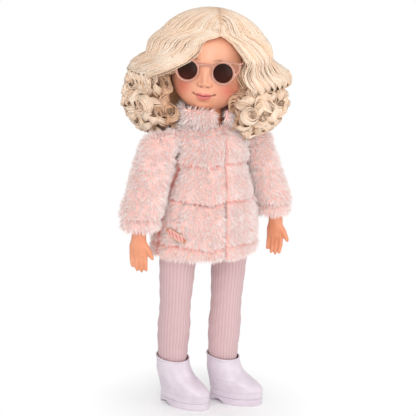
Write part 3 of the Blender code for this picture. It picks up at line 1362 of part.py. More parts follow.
def main():
    clear_scene()
    neck = empty("neck_joint", (0, 0, HEAD_BASE))
    hips, shoulders, skirts, axles = {}, {}, {}, {}
    skirt_depth = jacket_size(WAIST_SEAM, 0.0)[1] + 2 * GAP + PLACKET_THICKNESS
    for side, sign in SIDES.items():
        hips[side] = empty(f"hip_joint_{side}", (sign * LEG_X, 0, HIP_HEIGHT))
        shoulders[side] = empty(f"shoulder_joint_{side}", (sign * ARM_X, 0, SHOULDER_HEIGHT))
        skirts[side] = empty(f"skirt_joint_{side}", (0, -skirt_depth, WAIST_SEAM))
        axles[side] = empty(f"eye_joint_{side}", worn() @ eye_centre(sign))
    make_torso()
    make_shoulder_plate()
    make_neck_plug()
    make_cords()
    make_tights_waist()
    make_jacket(skirts)
    for side in SIDES:
        make_leg(side, hips[side])
        make_tights(side, hips[side])
        make_boot(side, hips[side])
        make_arm(side, shoulders[side])
        make_sleeve(side, shoulders[side])
        make_eye(side, axles[side])
    make_head(neck)
    make_sunglasses(neck)
    make_hair(neck)


main()
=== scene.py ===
"""The looks of a standing fashion doll: rooted curls, a fur jacket in quilted tiers, knit tights,
moulded ankle boots and round sunglasses, dressed on the fixed frame of its solids.

Metres, +Z up. The torso faces -Y, so the doll's own left is +X. The head is modelled facing -Y
and is then turned and tilted as it is worn in the rest pose.
"""

import itertools
import math

import bmesh
import bpy
import numpy as np
from mathutils import Matrix, Vector
from mathutils.kdtree import KDTree


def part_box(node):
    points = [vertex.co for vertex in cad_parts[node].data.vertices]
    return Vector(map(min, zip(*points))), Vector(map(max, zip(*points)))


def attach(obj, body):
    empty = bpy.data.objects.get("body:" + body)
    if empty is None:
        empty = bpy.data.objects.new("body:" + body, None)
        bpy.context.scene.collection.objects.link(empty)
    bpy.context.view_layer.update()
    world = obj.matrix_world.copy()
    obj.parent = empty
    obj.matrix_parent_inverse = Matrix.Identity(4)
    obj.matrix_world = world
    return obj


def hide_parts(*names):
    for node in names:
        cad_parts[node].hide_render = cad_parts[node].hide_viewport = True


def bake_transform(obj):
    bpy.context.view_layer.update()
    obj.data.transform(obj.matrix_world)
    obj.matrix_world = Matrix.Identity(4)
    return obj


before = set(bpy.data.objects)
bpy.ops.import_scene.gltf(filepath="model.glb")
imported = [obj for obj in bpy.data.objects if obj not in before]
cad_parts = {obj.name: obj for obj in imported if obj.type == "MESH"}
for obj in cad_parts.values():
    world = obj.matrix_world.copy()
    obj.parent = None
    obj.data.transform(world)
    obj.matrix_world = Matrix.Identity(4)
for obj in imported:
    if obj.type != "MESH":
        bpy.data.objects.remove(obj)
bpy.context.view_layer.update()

MM = 0.001
SIDES = {"right": -1, "left": 1}
GAP = 0.0003                    # between pieces that touch
SEED = 7

# Legs, tights and boots
HIP_HEIGHT = 0.210
THIGH_RADIUS = 0.0196
LEG_X = 0.0344
LEG_SHARES = [                  # share of the hip's height, share of the thigh's radius
    (0.20, 0.70), (0.30, 0.81), (0.40, 0.885), (0.47, 0.90), (0.54, 0.845),
    (0.61, 0.85), (0.71, 0.92), (0.84, 0.99), (0.93, 1.0), (1.0, 1.0),
]
FOOT_IN = 0.0064                # how far each foot stands inwards of its hip
FOOT_BEHIND = {"right": 0.0190, "left": -0.0024}
FOOT_TURN = {"right": 29.0, "left": 43.0}
LEAN_SHARE, ANKLE_SHARE = 0.88, 0.34     # the leg leans between these shares of the hip's height
TIGHTS_WALL = 0.0009
TIGHTS_TOP_SHARE = 0.93
TIGHTS_FOOT = 0.030             # above the floor, inside the boot
RIB_COUNT = 30
RIB_RISE, EYELET_DEPTH = 0.45 * MM, 0.30 * MM
LEG_SLACK = 0.25 * MM           # how far the knit stands off the leg here and there
SEAT_RIB_RISE = 0.12 * MM
EYELET_PITCH = 0.0034
SOLE_HEIGHT = 0.0080
ARCH_RADIUS = 0.0100
BOOT_HEIGHT = 0.0575
RIM_FALL = 0.0024               # the boot's rim is lower in front
BOOT_WALL = 0.0013
BOOT_CLEARANCE = 0.0012
RIM_ROLL = 0.0012
HEEL_OVERHANG = -0.0050
TOE_REACH = 0.0300
SOLE_HALF_WIDTH = 0.0158
TOE_NARROW = 0.16               # how much narrower the toe is than the heel, as a share
SOLE_SQUARE = 0.88              # below 1 squares the sole's outline off
BUTTON_RADIUS = 0.0016
BUTTON_PITCH = 0.0058
BUTTON_COUNT = 3
BUTTON_TOP_DROP = 0.009
BUTTON_PROFILE = [              # mm out from the boot, share of the button's radius
    (-0.6, 0.8), (0.0, 0.85), (0.25, 1.0), (0.45, 1.0), (0.62, 0.86), (0.66, 0.62), (0.55, 0.5), (0.6, 0.2),
]
SOLE_PROFILE = [                # share of the sole's height, mm in from its edge
    (0.0, 0.9), (0.06, 0.35), (0.16, 0.0), (0.5, -0.15), (0.72, -0.05), (0.88, 0.0), (0.96, 0.1), (1.0, 0.35),
]
SOLE_FULLER = 0.15 * MM
ARCH_BEHIND = 0.15 * 0.0177     # how far the arch's middle lies behind the middle of the shaft
BOOT_SHARES = [                 # share of the boot's height, of the toe's reach, of the sole's width
    (0.00, 1.00, 1.00), (0.10, 1.03, 1.02), (0.20, 1.00, 0.96), (0.30, 0.88, 0.84),
    (0.40, 0.66, 0.66), (0.50, 0.40, 0.46), (0.60, 0.21, 0.26), (0.74, 0.08, 0.09),
    (1.00, 0.00, 0.00),
]

# Head, in its own facing-forward pose
HEAD_BASE = 0.3666
HEAD_CENTRE = np.array((0.0, 0.002, 0.4056))
HEAD_WIDE, HEAD_DEEP = 0.0415, 0.0440
HEAD_UP, HEAD_DOWN = 0.0465, 0.0505
HEAD_YAW, HEAD_ROLL = -38.0, 3.5
NECK_RINGS = [(0.0205, 0.0020), (0.0180, 0.0), (0.0120, 0.0)]    # radius, height over the head's base
EAR_RISE = 4.1 * MM
EYE_OUT, EYE_FORWARD, EYE_DROP, EYE_RADIUS = 0.0165, 0.0262, 0.0060, 0.0070
EYE_PIT_Y = -0.0255             # the bottom of the eye wells
MOUTH_LEVEL = -33.8             # mm, as the features below
UPPER_LIP, LOWER_LIP = 4.1, 3.0
UPPER_LIP_RISE, LOWER_LIP_RISE = 1.5, 1.7
MOUTH_CORNER = 11.2, -31.8
FACE_HUMPS = [                  # how high, how far from the middle and its spread, level and its spread
    (5.2, 0, 4.6, -19.0, 3.8),                      # the nose's tip
    (3.0, 0, 3.4, -11.5, 6.5),                      # its bridge
    (2.9, 5.8, 2.3, -20.4, 2.4),                    # its wings
    (-2.8, 3.5, 1.4, -22.9, 0.95),                  # nostrils
    (-0.5, 0, 1.4, -26.4, 1.8),                     # groove above the lips
    (1.9, 0, 11.0, -32.8, 6.0),                     # mound of the mouth
    (-1.5, MOUTH_CORNER[0], 1.2, MOUTH_CORNER[1], 1.3),
    (-1.1, 0, 6.5, -38.6, 1.7),                     # hollow under the lips
    (2.6, 0, 9.5, -44.0, 5.6),                      # chin
    (1.9, 20.5, 8.5, -23.5, 8.5),                   # cheeks
    (-1.5, 16.5, 8.5, -5.5, 6.0),                   # hollows of the eyes
    (0.7, 16.0, 9.0, 3.2, 2.6),                     # brows
]
LENS_SPACING = 0.0390
RIM_OUTER, RIM_INNER, RIM_DEPTH = 0.0132, 0.0108, 0.0030
FRAME_FORWARD, FRAME_DROP = 0.0475, 0.0050
RIM_FULLER = 0.0002
LENS_PROFILE = [                # share of the lens's radius, mm behind its middle
    (0.1, -1.2), (0.4, -1.136), (0.7, -0.92), (0.92, -0.6), (1.0, -0.4), (1.0, 0.28), (0.9, 0.32),
    (0.5, 0.08), (0.1, 0.0),
]
WING_REACH, WING_HEIGHT = 0.0174, 0.0028
WING_FOOT_ANGLE = -22.0         # where the wing comes back to the rim
BRIDGE_RISE = 0.0074
TEMPLE_LENGTH = 0.0600
TEMPLE_AT_SHARE = 1.04
HOOK_DROP = 0.0080
BAR = 0.0022
FRAME_VOXEL = 0.42 * MM

# Hair
HAIR_TOP = 0.0130
HAIR_RIM_RISE = 0.0360
HAIR_BOTTOM = 0.3360
HAIR_WAVE, HAIR_WAVE_PITCH = 0.0034, 0.0300
HAIR_LEAN = 2.0 * MM            # the hair stands over to the right this much near its top
PART_GROOVE = 2.4 * MM
PART_AZIMUTH = 22.0
PART_END = 0.002, 0.006         # from the head's centre, to the left and back
BACK_EDGE = 128.0
# Share of the way down from the rim, and how far out, in half widths of the head
HAIR_SIDE_SHARES = [
    (0.0, 1.30), (0.12, 1.53), (0.24, 1.68), (0.36, 1.90), (0.47, 2.16), (0.60, 2.20), (0.72, 2.14),
    (0.86, 2.16), (0.94, 2.04), (1.0, 1.84), (1.1, 1.40),
]
HAIR_BACK_SHARES = [(0.0, 1.26), (0.2, 1.44), (0.45, 1.56), (0.7, 1.54), (0.88, 1.46), (1.0, 1.16)]
HAIR_FACE_SHARES = [
    (0.0, 0.79), (0.05, 0.90), (0.1, 0.98), (0.2, 1.09), (0.5, 1.32), (0.8, 1.46), (1.0, 1.24),
]
HAIR_RIGHT_MORE = 0.16          # how much further the hair stands out on the right, low down
# Share of the way down, and how many degrees from straight ahead the hair's front edge lies
LEFT_EDGE_SHARES = [
    (0.0, 22.0), (0.03, 33.0), (0.08, 43.0), (0.2, 50.0), (0.36, 52.0), (0.6, 52.0), (1.0, 50.0),
]
RIGHT_EDGE_SHARES = [
    (0.0, -20.0), (0.02, -8.0), (0.05, 3.0), (0.09, 10.0), (0.13, 14.0), (0.21, 14.5), (0.28, 19.0),
    (0.36, 33.0), (0.41, 46.0), (0.47, 58.0), (1.0, 52.0),
]
FRINGE_LIFT = 0.0115            # the fringe in front of the sunglasses' corner
RINGLET_RADIUS = 0.0072
RINGLET_PITCH = 0.0200
ROOT_DEPTH = 0.0040             # how deep a lock may start under the outside
CROWN_SINK = 0.0020             # extra depth at the parting
PART_SHARE, SPREAD_SHARE = 0.62, 0.7    # how much of a fall starts on the parting, and fans out from it
CROWN_POINTS = 11               # of a lock's path, the rest hangs
SWAY = 4.2                      # degrees, to and fro as a lock hangs
PIN_RADIUS, PIN_TURNS, PIN_RISE = 0.0095, 1.9, 0.0040       # the curls that are seen end on
PIN_LENGTH, PIN_OUT, PIN_FROM = 0.80, 3.5 * MM, 0.065       # and their locks: length, lift, place
LOCK_THICKNESS = 1.3 * MM
STRAND_RADIUS = 0.60 * MM
FIRST_LOCK = 0.012              # where the first lock lies, as a share of its fall
DEEP_LAYER_FROM = 0.05
LENGTH_MORE = {"right": 0.19, "left": 0.09, "back": 0.0}        # towards the middle of the fall
BASE_FROM = {"right": 0.44, "left": 0.44, "back": 0.02}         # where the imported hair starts
BASE_DEPTH = 0.0040, 0.0135     # under the outside, at the top and lower down
CAP_DEPTH = 3.2 * MM

# Jacket, body and hands
WAIST_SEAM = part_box("jacket_waist_tier")[0][2]
CHEST_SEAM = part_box("jacket_yoke")[0][2]
HEM_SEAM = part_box("skirt_back")[0][2]
CUFF_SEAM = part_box("cuff_left")[1][2]
PLACKET_WIDTH = 0.022
SHOULDER_X = 0.0430
LINING_HALF_WIDTH, LINING_HALF_DEPTH = 0.0474, 0.0408
LINING_ABOVE, LINING_BELOW = 0.0030, 0.0205
LINING_WALL = 0.0006
LINING_FOLD = 0.25 * MM
FUR_DENSITY = 0.86e6            # strands for each square metre
FUR_LENGTH = 0.0056
FUR_WIDTH = 0.00045
FUR_DROOP = 0.32
FUR_LIFT = {"fur_collar": 1.4, "fur_yoke": 1.15}    # longer pile than elsewhere
FUR_VOXEL, FUR_PUFF = 2.6 * MM, 2.4 * MM
PLACKET_VOXEL = 1.2 * MM
BODY_VOXEL, BODY_PUFF = 4.0 * MM, 1.0 * MM
HAND_VOXEL = 1.05 * MM
PUFF_PRESSURE, PUFF_FRAMES = 4.0, 20
TUFT_SHARE, TUFT_PULL = 0.07, 3.0 * MM  # share of the cloth's points that gather a tuft, and over how far
SLEEVE_TUCK = 6.0 * MM          # how far a sleeve reaches in under the yoke
FRONT_OVERLAP, TIER_OVERLAP = 5.0 * MM, 3.4 * MM    # added to the height of a piece, to meet its neighbours
PLACKET_OVERLAP = 0.9 * MM
YOKE_SIDE_OUT = 4.5 * MM
SEAM_WIDTH, CUFF_SEAM_WIDTH, ARMHOLE_SEAM_WIDTH = 1.3 * MM, 1.1 * MM, 1.2 * MM
PLACKET_SEAM_WIDTH, SIDE_SEAM_SHADE_WIDTH = 0.8 * MM, 3.0 * MM
SLEEVE_TOP, SLEEVE_END = (0.0621, 0.0, 0.308), (0.0866, -0.006, 0.2243)     # of the left sleeve
TAB_TILT, TAB_TURN = 24.0, 7.0  # degrees
TAB_LONGER = 0.42               # added to its length, as a share
TAB_RAISED, TAB_OUT = 2.0 * MM, 2.6 * MM
TAB_WALL, TAB_RIM = 0.9 * MM, 0.35 * MM
TAB_VOXEL = 0.30 * MM

# Camera, as the photograph was taken
VIEW_AZIMUTH = -31.0
VIEW_DISTANCE = 1.56
VIEW_HEIGHT = 0.63
VIEW_TARGET_HEIGHT = 0.237
VIEW_SHIFT = 0.0033
VIEW_ROLL = 1.45
FOCAL_PIXELS = 1410
PHOTO_SIZE = 416
SENSOR = 36.0
LAMPS = [                       # place, size and watts
    ("key", (-1.2, -1.3, 1.5), 1.3, 13.9), ("fill", (1.4, -1.3, 0.9), 1.5, 9.5),
    ("top", (0.2, 0.6, 1.9), 1.4, 4.7), ("front", (-0.7, -1.8, 0.5), 1.2, 13.5),
]
LAMP_AIM = (0, 0, 0.24)
ROOM_LIGHT = 0.50
FLOOR_SIZE = 6.0                # from its middle to an edge
FLOOR_FADE = 0.03, 0.13         # from the shadow's place to where only white shows


# Sums

def blend(a, b, share):
    return a + (b - a) * share


def along(table, share, column=1):
    """Reads a table of rows that start with a share, between its rows."""
    return np.interp(share, [row[0] for row in table], [row[column] for row in table])


def ease(low, high, value):
    """0 below low, 1 above high, and a smooth climb between."""
    share = np.clip((value - low) / (high - low), 0, 1)
    return share * share * (3 - 2 * share)


def hump(value, middle, spread):
    return np.exp(-((value - middle) / spread) ** 2)


def placed(points, matrix):
    """Points of any grid, moved by a 4 by 4 matrix."""
    turn = np.array(matrix.to_3x3())
    return points @ turn.T + np.array(matrix.translation)


def worn():
    """The turn and tilt of the head at rest, about the top of the neck."""
    pivot = Matrix.Translation((0, 0, HEAD_BASE))
    turn = Matrix.Rotation(math.radians(HEAD_YAW), 4, "Z") @ Matrix.Rotation(math.radians(HEAD_ROLL), 4, "Y")
    return pivot @ turn @ pivot.inverted()


def unit(vectors):
    return vectors / np.maximum(np.linalg.norm(vectors, axis=-1, keepdims=True), 1e-12)


# Meshes

def grid_quads(rows, columns, wrap=True):
    row = np.arange(rows - 1)[:, None] * columns
    column = np.arange(columns if wrap else columns - 1)[None, :]
    across = (column + 1) % columns
    corners = (row + column, row + across, row + columns + across, row + columns + column)
    return np.stack(corners, -1).reshape(-1, 4)


def signed_volume(points, faces):
    a = points[faces[:, 0]]
    total = 0.0
    for k in range(1, faces.shape[1] - 1):
        total += np.einsum("ij,ij->", a, np.cross(points[faces[:, k]], points[faces[:, k + 1]]))
    return total


def linked(name, data):
    obj = bpy.data.objects.new(name, data)
    bpy.context.scene.collection.objects.link(obj)
    return obj


def mesh_object(name, points, quads, triangles=None):
    """A mesh from arrays of points and faces, turned right side out."""
    points = np.asarray(points, dtype=np.float64).reshape(-1, 3)
    if triangles is None:
        triangles = np.zeros((0, 3), dtype=int)
    middle = points.mean(axis=0)
    volume = signed_volume(points - middle, quads) if len(quads) else 0.0
    volume += signed_volume(points - middle, triangles) if len(triangles) else 0.0
    if volume < 0:
        quads, triangles = quads[:, ::-1], triangles[:, ::-1]
    data = bpy.data.meshes.new(name)
    corners = np.concatenate([quads.ravel(), triangles.ravel()])
    sizes = np.concatenate([np.full(len(quads), 4), np.full(len(triangles), 3)])
    data.vertices.add(len(points))
    data.vertices.foreach_set("co", points.astype(np.float32).ravel())
    data.loops.add(len(corners))
    data.loops.foreach_set("vertex_index", corners.astype(np.int32))
    data.polygons.add(len(sizes))
    data.polygons.foreach_set("loop_start", (np.cumsum(sizes) - sizes).astype(np.int32))
    data.update(calc_edges=True)
    data.shade_smooth()
    return linked(name, data)


def lofted(name, rings):
    """A closed solid through rings of points, with a fan at each end."""
    rings = np.asarray(rings)
    rows, columns = rings.shape[:2]
    ends = [rings[0].mean(axis=0), rings[-1].mean(axis=0)]
    points = np.concatenate([rings.reshape(-1, 3), ends])
    first, last = rows * columns, rows * columns + 1
    i = np.arange(columns)
    j = (i + 1) % columns
    start = np.stack([j, i, np.full(columns, first)], -1)
    stop = np.stack([i, j, np.full(columns, last)], -1) + np.array([1, 1, 0]) * (rows - 1) * columns
    return mesh_object(name, points, grid_quads(rows, columns), np.concatenate([start, stop]))


def closed_tube(name, rings):
    """A tube whose last ring joins its first, such as a sleeve with its lining or a rim."""
    rings = np.asarray(rings)
    rows, columns = rings.shape[:2]
    return mesh_object(name, rings, grid_quads(rows + 1, columns) % (rows * columns))


def slab(name, outer, inner):
    """A closed curved sheet with thickness, from two grids of points of one size."""
    rows, columns = outer.shape[:2]
    count = rows * columns
    front = grid_quads(rows, columns, wrap=False)
    back = front[:, ::-1] + count
    edge = np.concatenate([
        np.arange(columns), np.arange(2, rows + 1) * columns - 1,
        (rows - 1) * columns + np.arange(columns - 2, -1, -1), np.arange(rows - 2, 0, -1) * columns,
    ])
    after = np.roll(edge, -1)
    sides = np.stack([after, edge, edge + count, after + count], -1)
    points = np.concatenate([outer.reshape(-1, 3), inner.reshape(-1, 3)])
    return mesh_object(name, points, np.concatenate([front, back, sides]))


def tubes(name, paths, radii):
    """Closed three-sided strands in one mesh. paths is strands by points by 3, radii strands by points."""
    sides = 3
    way = unit(np.gradient(paths, axis=1))
    first = np.empty_like(way)
    last = np.broadcast_to(np.array((0.05, 0.03, 1.0)), way[:, 0].shape)
    for row in range(way.shape[1]):
        last = unit(last - way[:, row] * np.sum(last * way[:, row], axis=1, keepdims=True))
        first[:, row] = last
    second = np.cross(way, first)
    angle = 2 * np.pi * np.arange(sides) / sides
    ring = first[:, :, None] * np.cos(angle)[:, None] + second[:, :, None] * np.sin(angle)[:, None]
    points = paths[:, :, None] + ring * radii[:, :, None, None]
    count, rows = paths.shape[:2]
    step = (np.arange(count) * rows * sides)[:, None, None]
    quads = (grid_quads(rows, sides)[None] + step).reshape(-1, 4)
    ends = np.array([np.arange(sides)[::-1], (rows - 1) * sides + np.arange(sides)])
    return mesh_object(name, points, quads, (ends[None] + step).reshape(-1, sides))


def attribute(obj, name, values):
    """Stores a number for each point of a mesh, for its material to read."""
    layer = obj.data.attributes.new(name, "FLOAT", "POINT")
    layer.data.foreach_set("value", np.asarray(values, dtype=np.float32).ravel())


def coordinates(obj):
    points = np.empty(len(obj.data.vertices) * 3, dtype=np.float32)
    obj.data.vertices.foreach_get("co", points)
    return points.reshape(-1, 3).astype(np.float64)


def move_points(obj, points):
    obj.data.vertices.foreach_set("co", points.astype(np.float32).ravel())
    obj.data.update()


def kept(name, mesh):
    """An object from a finished bmesh."""
    data = bpy.data.meshes.new(name)
    mesh.to_mesh(data)
    mesh.free()
    return linked(name, data)


def copy_of(name, node):
    """A new object from a copy of a solid, with its doubled points merged."""
    mesh = bmesh.new()
    mesh.from_mesh(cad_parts[node].data)
    bmesh.ops.remove_doubles(mesh, verts=mesh.verts, dist=0.01 * MM)
    return kept(name, mesh)


def joined(name, objects):
    mesh = bmesh.new()
    for obj in objects:
        data = obj.data
        mesh.from_mesh(data)
        bpy.data.objects.remove(obj)
        bpy.data.meshes.remove(data)
    return kept(name, mesh)


def settled(obj):
    """Replaces an object's mesh by what its modifiers make of it, and removes them."""
    graph = bpy.context.evaluated_depsgraph_get()
    made = bpy.data.meshes.new_from_object(obj.evaluated_get(graph))
    obj.modifiers.clear()
    old = obj.data
    obj.data = made
    bpy.data.meshes.remove(old)
    return obj


def remeshed(obj, voxel, smoothing=0):
    """One even skin over everything in the mesh."""
    step = obj.modifiers.new("even", "REMESH")
    step.mode = "VOXEL"
    step.voxel_size = voxel
    if smoothing:
        rub = obj.modifiers.new("rub", "SMOOTH")
        rub.factor = 0.5
        rub.iterations = smoothing
    settled(obj)
    obj.data.shade_smooth()
    return obj


# Finishes

def srgb(*values):
    """A linear colour from values of 0 to 255."""
    linear = [v / 255 / 12.92 if v < 11 else ((v / 255 + 0.055) / 1.055) ** 2.4 for v in values]
    return (*linear, 1.0)


def plug(tree, socket, value):
    """Links a socket to another, or sets it to a value."""
    if isinstance(value, bpy.types.NodeSocket):
        tree.links.new(value, socket)
    else:
        socket.default_value = value


def add_node(tree, kind, inputs=None, **settings):
    """A new node with its settings, and with its sockets linked or set."""
    made = tree.nodes.new(kind)
    for key, value in settings.items():
        setattr(made, key, value)
    for socket, value in (inputs or {}).items():
        plug(tree, made.inputs[socket], value)
    return made


class Finish:
    """A procedural material, put together node by node."""

    def __init__(self, name, roughness, **settings):
        self.material = bpy.data.materials.new(name)
        self.material.use_nodes = True
        self.tree = self.material.node_tree
        self.shader = self.tree.nodes["Principled BSDF"]
        self.shader.inputs["Roughness"].default_value = roughness
        for socket, value in settings.items():
            self.shader.inputs[socket.replace("_", " ")].default_value = value
        self.object_place = self.node("ShaderNodeTexCoord").outputs["Object"]

    def node(self, kind, inputs=None, **settings):
        return add_node(self.tree, kind, inputs, **settings)

    def stretched(self, stretch):
        inputs = {"Vector": self.object_place, "Scale": stretch}
        return self.node("ShaderNodeMapping", inputs).outputs["Vector"]

    def noise(self, scale, detail=2.0, place=None):
        inputs = {"Vector": place or self.object_place, "Scale": scale, "Detail": detail}
        return self.node("ShaderNodeTexNoise", inputs).outputs["Fac"]

    def waves(self, scale, direction, distortion):
        inputs = {"Vector": self.object_place, "Scale": scale, "Distortion": distortion}
        return self.node("ShaderNodeTexWave", inputs, bands_direction=direction).outputs["Fac"]

    def value(self, name):
        return self.node("ShaderNodeAttribute", attribute_name=name).outputs["Fac"]

    def sum(self, operation, a, b):
        return self.node("ShaderNodeMath", {0: a, 1: b}, operation=operation).outputs[0]

    def between(self, value, low, high, start=0.0, stop=1.0):
        """Stretches low to high onto start to stop."""
        return self.node("ShaderNodeMapRange", dict(enumerate((value, low, high, start, stop)))).outputs[0]

    def mix(self, share, a, b):
        return self.node("ShaderNodeMix", {0: share, 6: a, 7: b}, data_type="RGBA").outputs[2]

    def bump(self, height, distance, strength=1.0):
        made = self.node("ShaderNodeBump", {"Height": height, "Distance": distance, "Strength": strength})
        plug(self.tree, self.shader.inputs["Normal"], made.outputs["Normal"])
        return self

    def colour(self, value):
        plug(self.tree, self.shader.inputs["Base Color"], value)
        return self

    def roughness(self, value):
        plug(self.tree, self.shader.inputs["Roughness"], value)
        return self


def vinyl_finish(name, base, shade, roughness=0.46):
    """Soft vinyl: faint mottling, and pores that break the gloss."""
    made = Finish(name, roughness, Subsurface_Weight=0.06, Subsurface_Scale=0.004)
    mottle = made.between(made.noise(70), 0.35, 0.65)
    made.colour(made.mix(mottle, base, shade))
    made.roughness(made.between(made.noise(420), 0.3, 0.7, roughness - 0.07, roughness + 0.07))
    return made.bump(made.noise(1500), 0.00006)


def face_finish():
    """The head's vinyl, with its painted lips, blush and brows, and painted shadows."""
    made = Finish("face_vinyl", 0.45, Subsurface_Weight=0.06, Subsurface_Scale=0.004)
    mottle = made.between(made.noise(60), 0.35, 0.65)
    tone = made.mix(mottle, srgb(237, 174, 143), srgb(231, 165, 132))
    tone = made.mix(made.value("blush"), tone, srgb(232, 118, 104))
    tone = made.mix(made.value("shadow"), tone, srgb(166, 88, 56))
    grain = made.between(made.noise(900, 3.0), 0.3, 0.7, 0.75, 1.0)
    tone = made.mix(made.sum("MULTIPLY", made.value("brow"), grain), tone, srgb(126, 72, 40))
    tone = made.mix(made.value("lips"), tone, srgb(224, 122, 118))
    # The mouth line's dark paint, which also stands for painted shadow in the nostrils.
    tone = made.mix(made.value("line"), tone, srgb(122, 48, 34))
    tone = made.mix(made.value("lid"), tone, srgb(88, 48, 32))
    made.colour(tone)
    made.roughness(made.between(made.value("lips"), 0.0, 1.0, 0.46, 0.30))
    return made.bump(made.noise(1500), 0.00005)


def hair_finish():
    """Rooted nylon hair: each strand has its own tone, and painted shade darkens it where it starts and turns
    under.
    """
    made = Finish("hair_nylon", 0.40, Sheen_Weight=0.15, Sheen_Roughness=0.4)
    made.shader.inputs["Sheen Tint"].default_value = srgb(255, 240, 215)
    tone = made.mix(made.value("tone"), srgb(244, 206, 172), srgb(255, 239, 222))
    # Painted shade, by how deep a strand lies in the hair.
    tone = made.mix(made.value("depth"), tone, srgb(224, 168, 122))
    flicker = made.between(made.noise(260, 3.0, made.stretched((1, 1, 0.15))), 0.35, 0.65)
    tone = made.mix(made.sum("MULTIPLY", flicker, 0.16), tone, srgb(222, 180, 138))
    made.colour(tone)
    made.roughness(made.between(made.noise(500), 0.3, 0.7, 0.32, 0.5))
    return made


def fur_finish():
    """Short pile: coral where it grows from the cloth, pale pink at its tips."""
    made = Finish("fur_pile", 0.85, Sheen_Weight=0.35, Sheen_Roughness=0.5)
    made.shader.inputs["Sheen Tint"].default_value = srgb(255, 232, 228)
    tone = made.mix(made.value("tone"), srgb(253, 238, 235), srgb(255, 250, 248))
    patch = made.between(made.noise(45, 2.0), 0.38, 0.62)
    tone = made.mix(made.sum("MULTIPLY", patch, 0.35), tone, srgb(250, 226, 221))
    rise = made.between(made.value("tip"), 0.0, 0.45)
    pile = made.mix(rise, srgb(246, 203, 193), tone)
    # Coral on the seam lines, also painted shade on the wide strip down each side.
    made.colour(made.mix(made.value("seam"), pile, srgb(224, 128, 112)))
    return made.bump(made.noise(900, 3.0), 0.0004, 0.6)


def tights_finish():
    """Fine rib knit with columns of small eyelets."""
    made = Finish("rib_knit", 0.85, Sheen_Weight=0.2, Sheen_Roughness=0.5)
    tone = made.mix(made.value("rib"), srgb(203, 170, 172), srgb(215, 186, 187))
    tone = made.mix(made.value("eyelet"), tone, srgb(176, 128, 134))
    yarn = made.between(made.noise(1300, 2.0), 0.3, 0.7)
    tone = made.mix(made.sum("MULTIPLY", yarn, 0.18), tone, srgb(190, 150, 156))
    made.colour(tone)
    return made.bump(made.noise(2600, 2.0), 0.00012, 0.7)


def boot_finish():
    made = Finish("boot_vinyl", 0.36, Coat_Weight=0.15, Coat_Roughness=0.25)
    mottle = made.between(made.noise(55), 0.35, 0.65)
    tone = made.mix(mottle, srgb(221, 209, 218), srgb(211, 197, 208))
    # Painted shade: the inside of the boot is coloured dark brown.
    tone = made.mix(made.value("painted_inner_shade"), tone, srgb(132, 58, 24))
    scuff = made.between(made.noise(340, 4.0), 0.58, 0.70)
    tone = made.mix(made.sum("MULTIPLY", scuff, 0.25), tone, srgb(200, 184, 196))
    made.colour(tone)
    made.roughness(made.between(made.noise(240), 0.3, 0.7, 0.30, 0.44))
    return made.bump(made.noise(1200), 0.00005)


def plastic_finish(name, base, shade, roughness=0.3):
    made = Finish(name, roughness, Coat_Weight=0.3, Coat_Roughness=0.15)
    flow = made.between(made.noise(90, 3.0), 0.35, 0.65)
    made.colour(made.mix(flow, base, shade))
    made.roughness(made.between(made.noise(600), 0.3, 0.7, roughness - 0.06, roughness + 0.06))
    return made.bump(made.noise(1700), 0.00003)


def lens_finish():
    """Dark tinted plastic, nearly black, a little redder low down."""
    made = Finish("lens_tint", 0.22, Specular_IOR_Level=0.10)
    place = made.node("ShaderNodeSeparateXYZ", {0: made.object_place})
    low = made.between(place.outputs["Z"], 0.408, 0.390)
    cloud = made.between(made.noise(60, 2.0), 0.3, 0.7, 0.4, 1.0)
    made.colour(made.mix(made.sum("MULTIPLY", low, cloud), srgb(34, 14, 9), srgb(72, 28, 17)))
    made.roughness(made.between(made.noise(300), 0.3, 0.7, 0.18, 0.26))
    return made


def cloth_finish(name, base, shade, scale=1400.0):
    """Plain woven cloth: two sets of threads crossing."""
    made = Finish(name, 0.9, Sheen_Weight=0.2)
    weave = made.sum("MULTIPLY", made.waves(scale, "X", 0.6), made.waves(scale, "Z", 0.6))
    made.colour(made.mix(weave, shade, base))
    return made.bump(weave, 0.00012, 0.8)


def metal_finish(name):
    made = Finish(name, 0.42, Metallic=1.0)
    cloud = made.between(made.noise(300, 3.0), 0.4, 0.7)
    made.colour(made.mix(cloud, srgb(150, 152, 156), srgb(118, 118, 122)))
    made.roughness(made.between(made.noise(800), 0.3, 0.7, 0.34, 0.5))
    return made.bump(made.noise(1500), 0.00004)


def eye_finish():
    """Painted eye: white, a brown iris, a pupil and a moulded lid."""
    made = Finish("eye_paint", 0.12, Coat_Weight=0.5)
    streak = made.between(made.noise(1200, 3.0), 0.3, 0.7)
    iris = made.mix(streak, srgb(92, 56, 30), srgb(140, 92, 52))
    tone = made.mix(made.value("iris"), srgb(240, 238, 234), iris)
    tone = made.mix(made.value("pupil"), tone, srgb(14, 10, 10))
    made.colour(made.mix(made.value("lid"), tone, srgb(228, 168, 140)))
    return made


def patch_finish():
    made = Finish("patch_weave", 0.6, Sheen_Weight=0.3)
    thread = made.waves(2600, "DIAGONAL", 0.5)
    tone = made.mix(made.value("stripe"), srgb(243, 202, 188), srgb(226, 96, 106))
    tone = made.mix(made.value("rim"), tone, srgb(212, 128, 60))
    made.colour(made.mix(made.sum("MULTIPLY", thread, 0.25), tone, srgb(160, 74, 50)))
    return made.bump(thread, 0.00012, 0.8)


FINISHES = {}


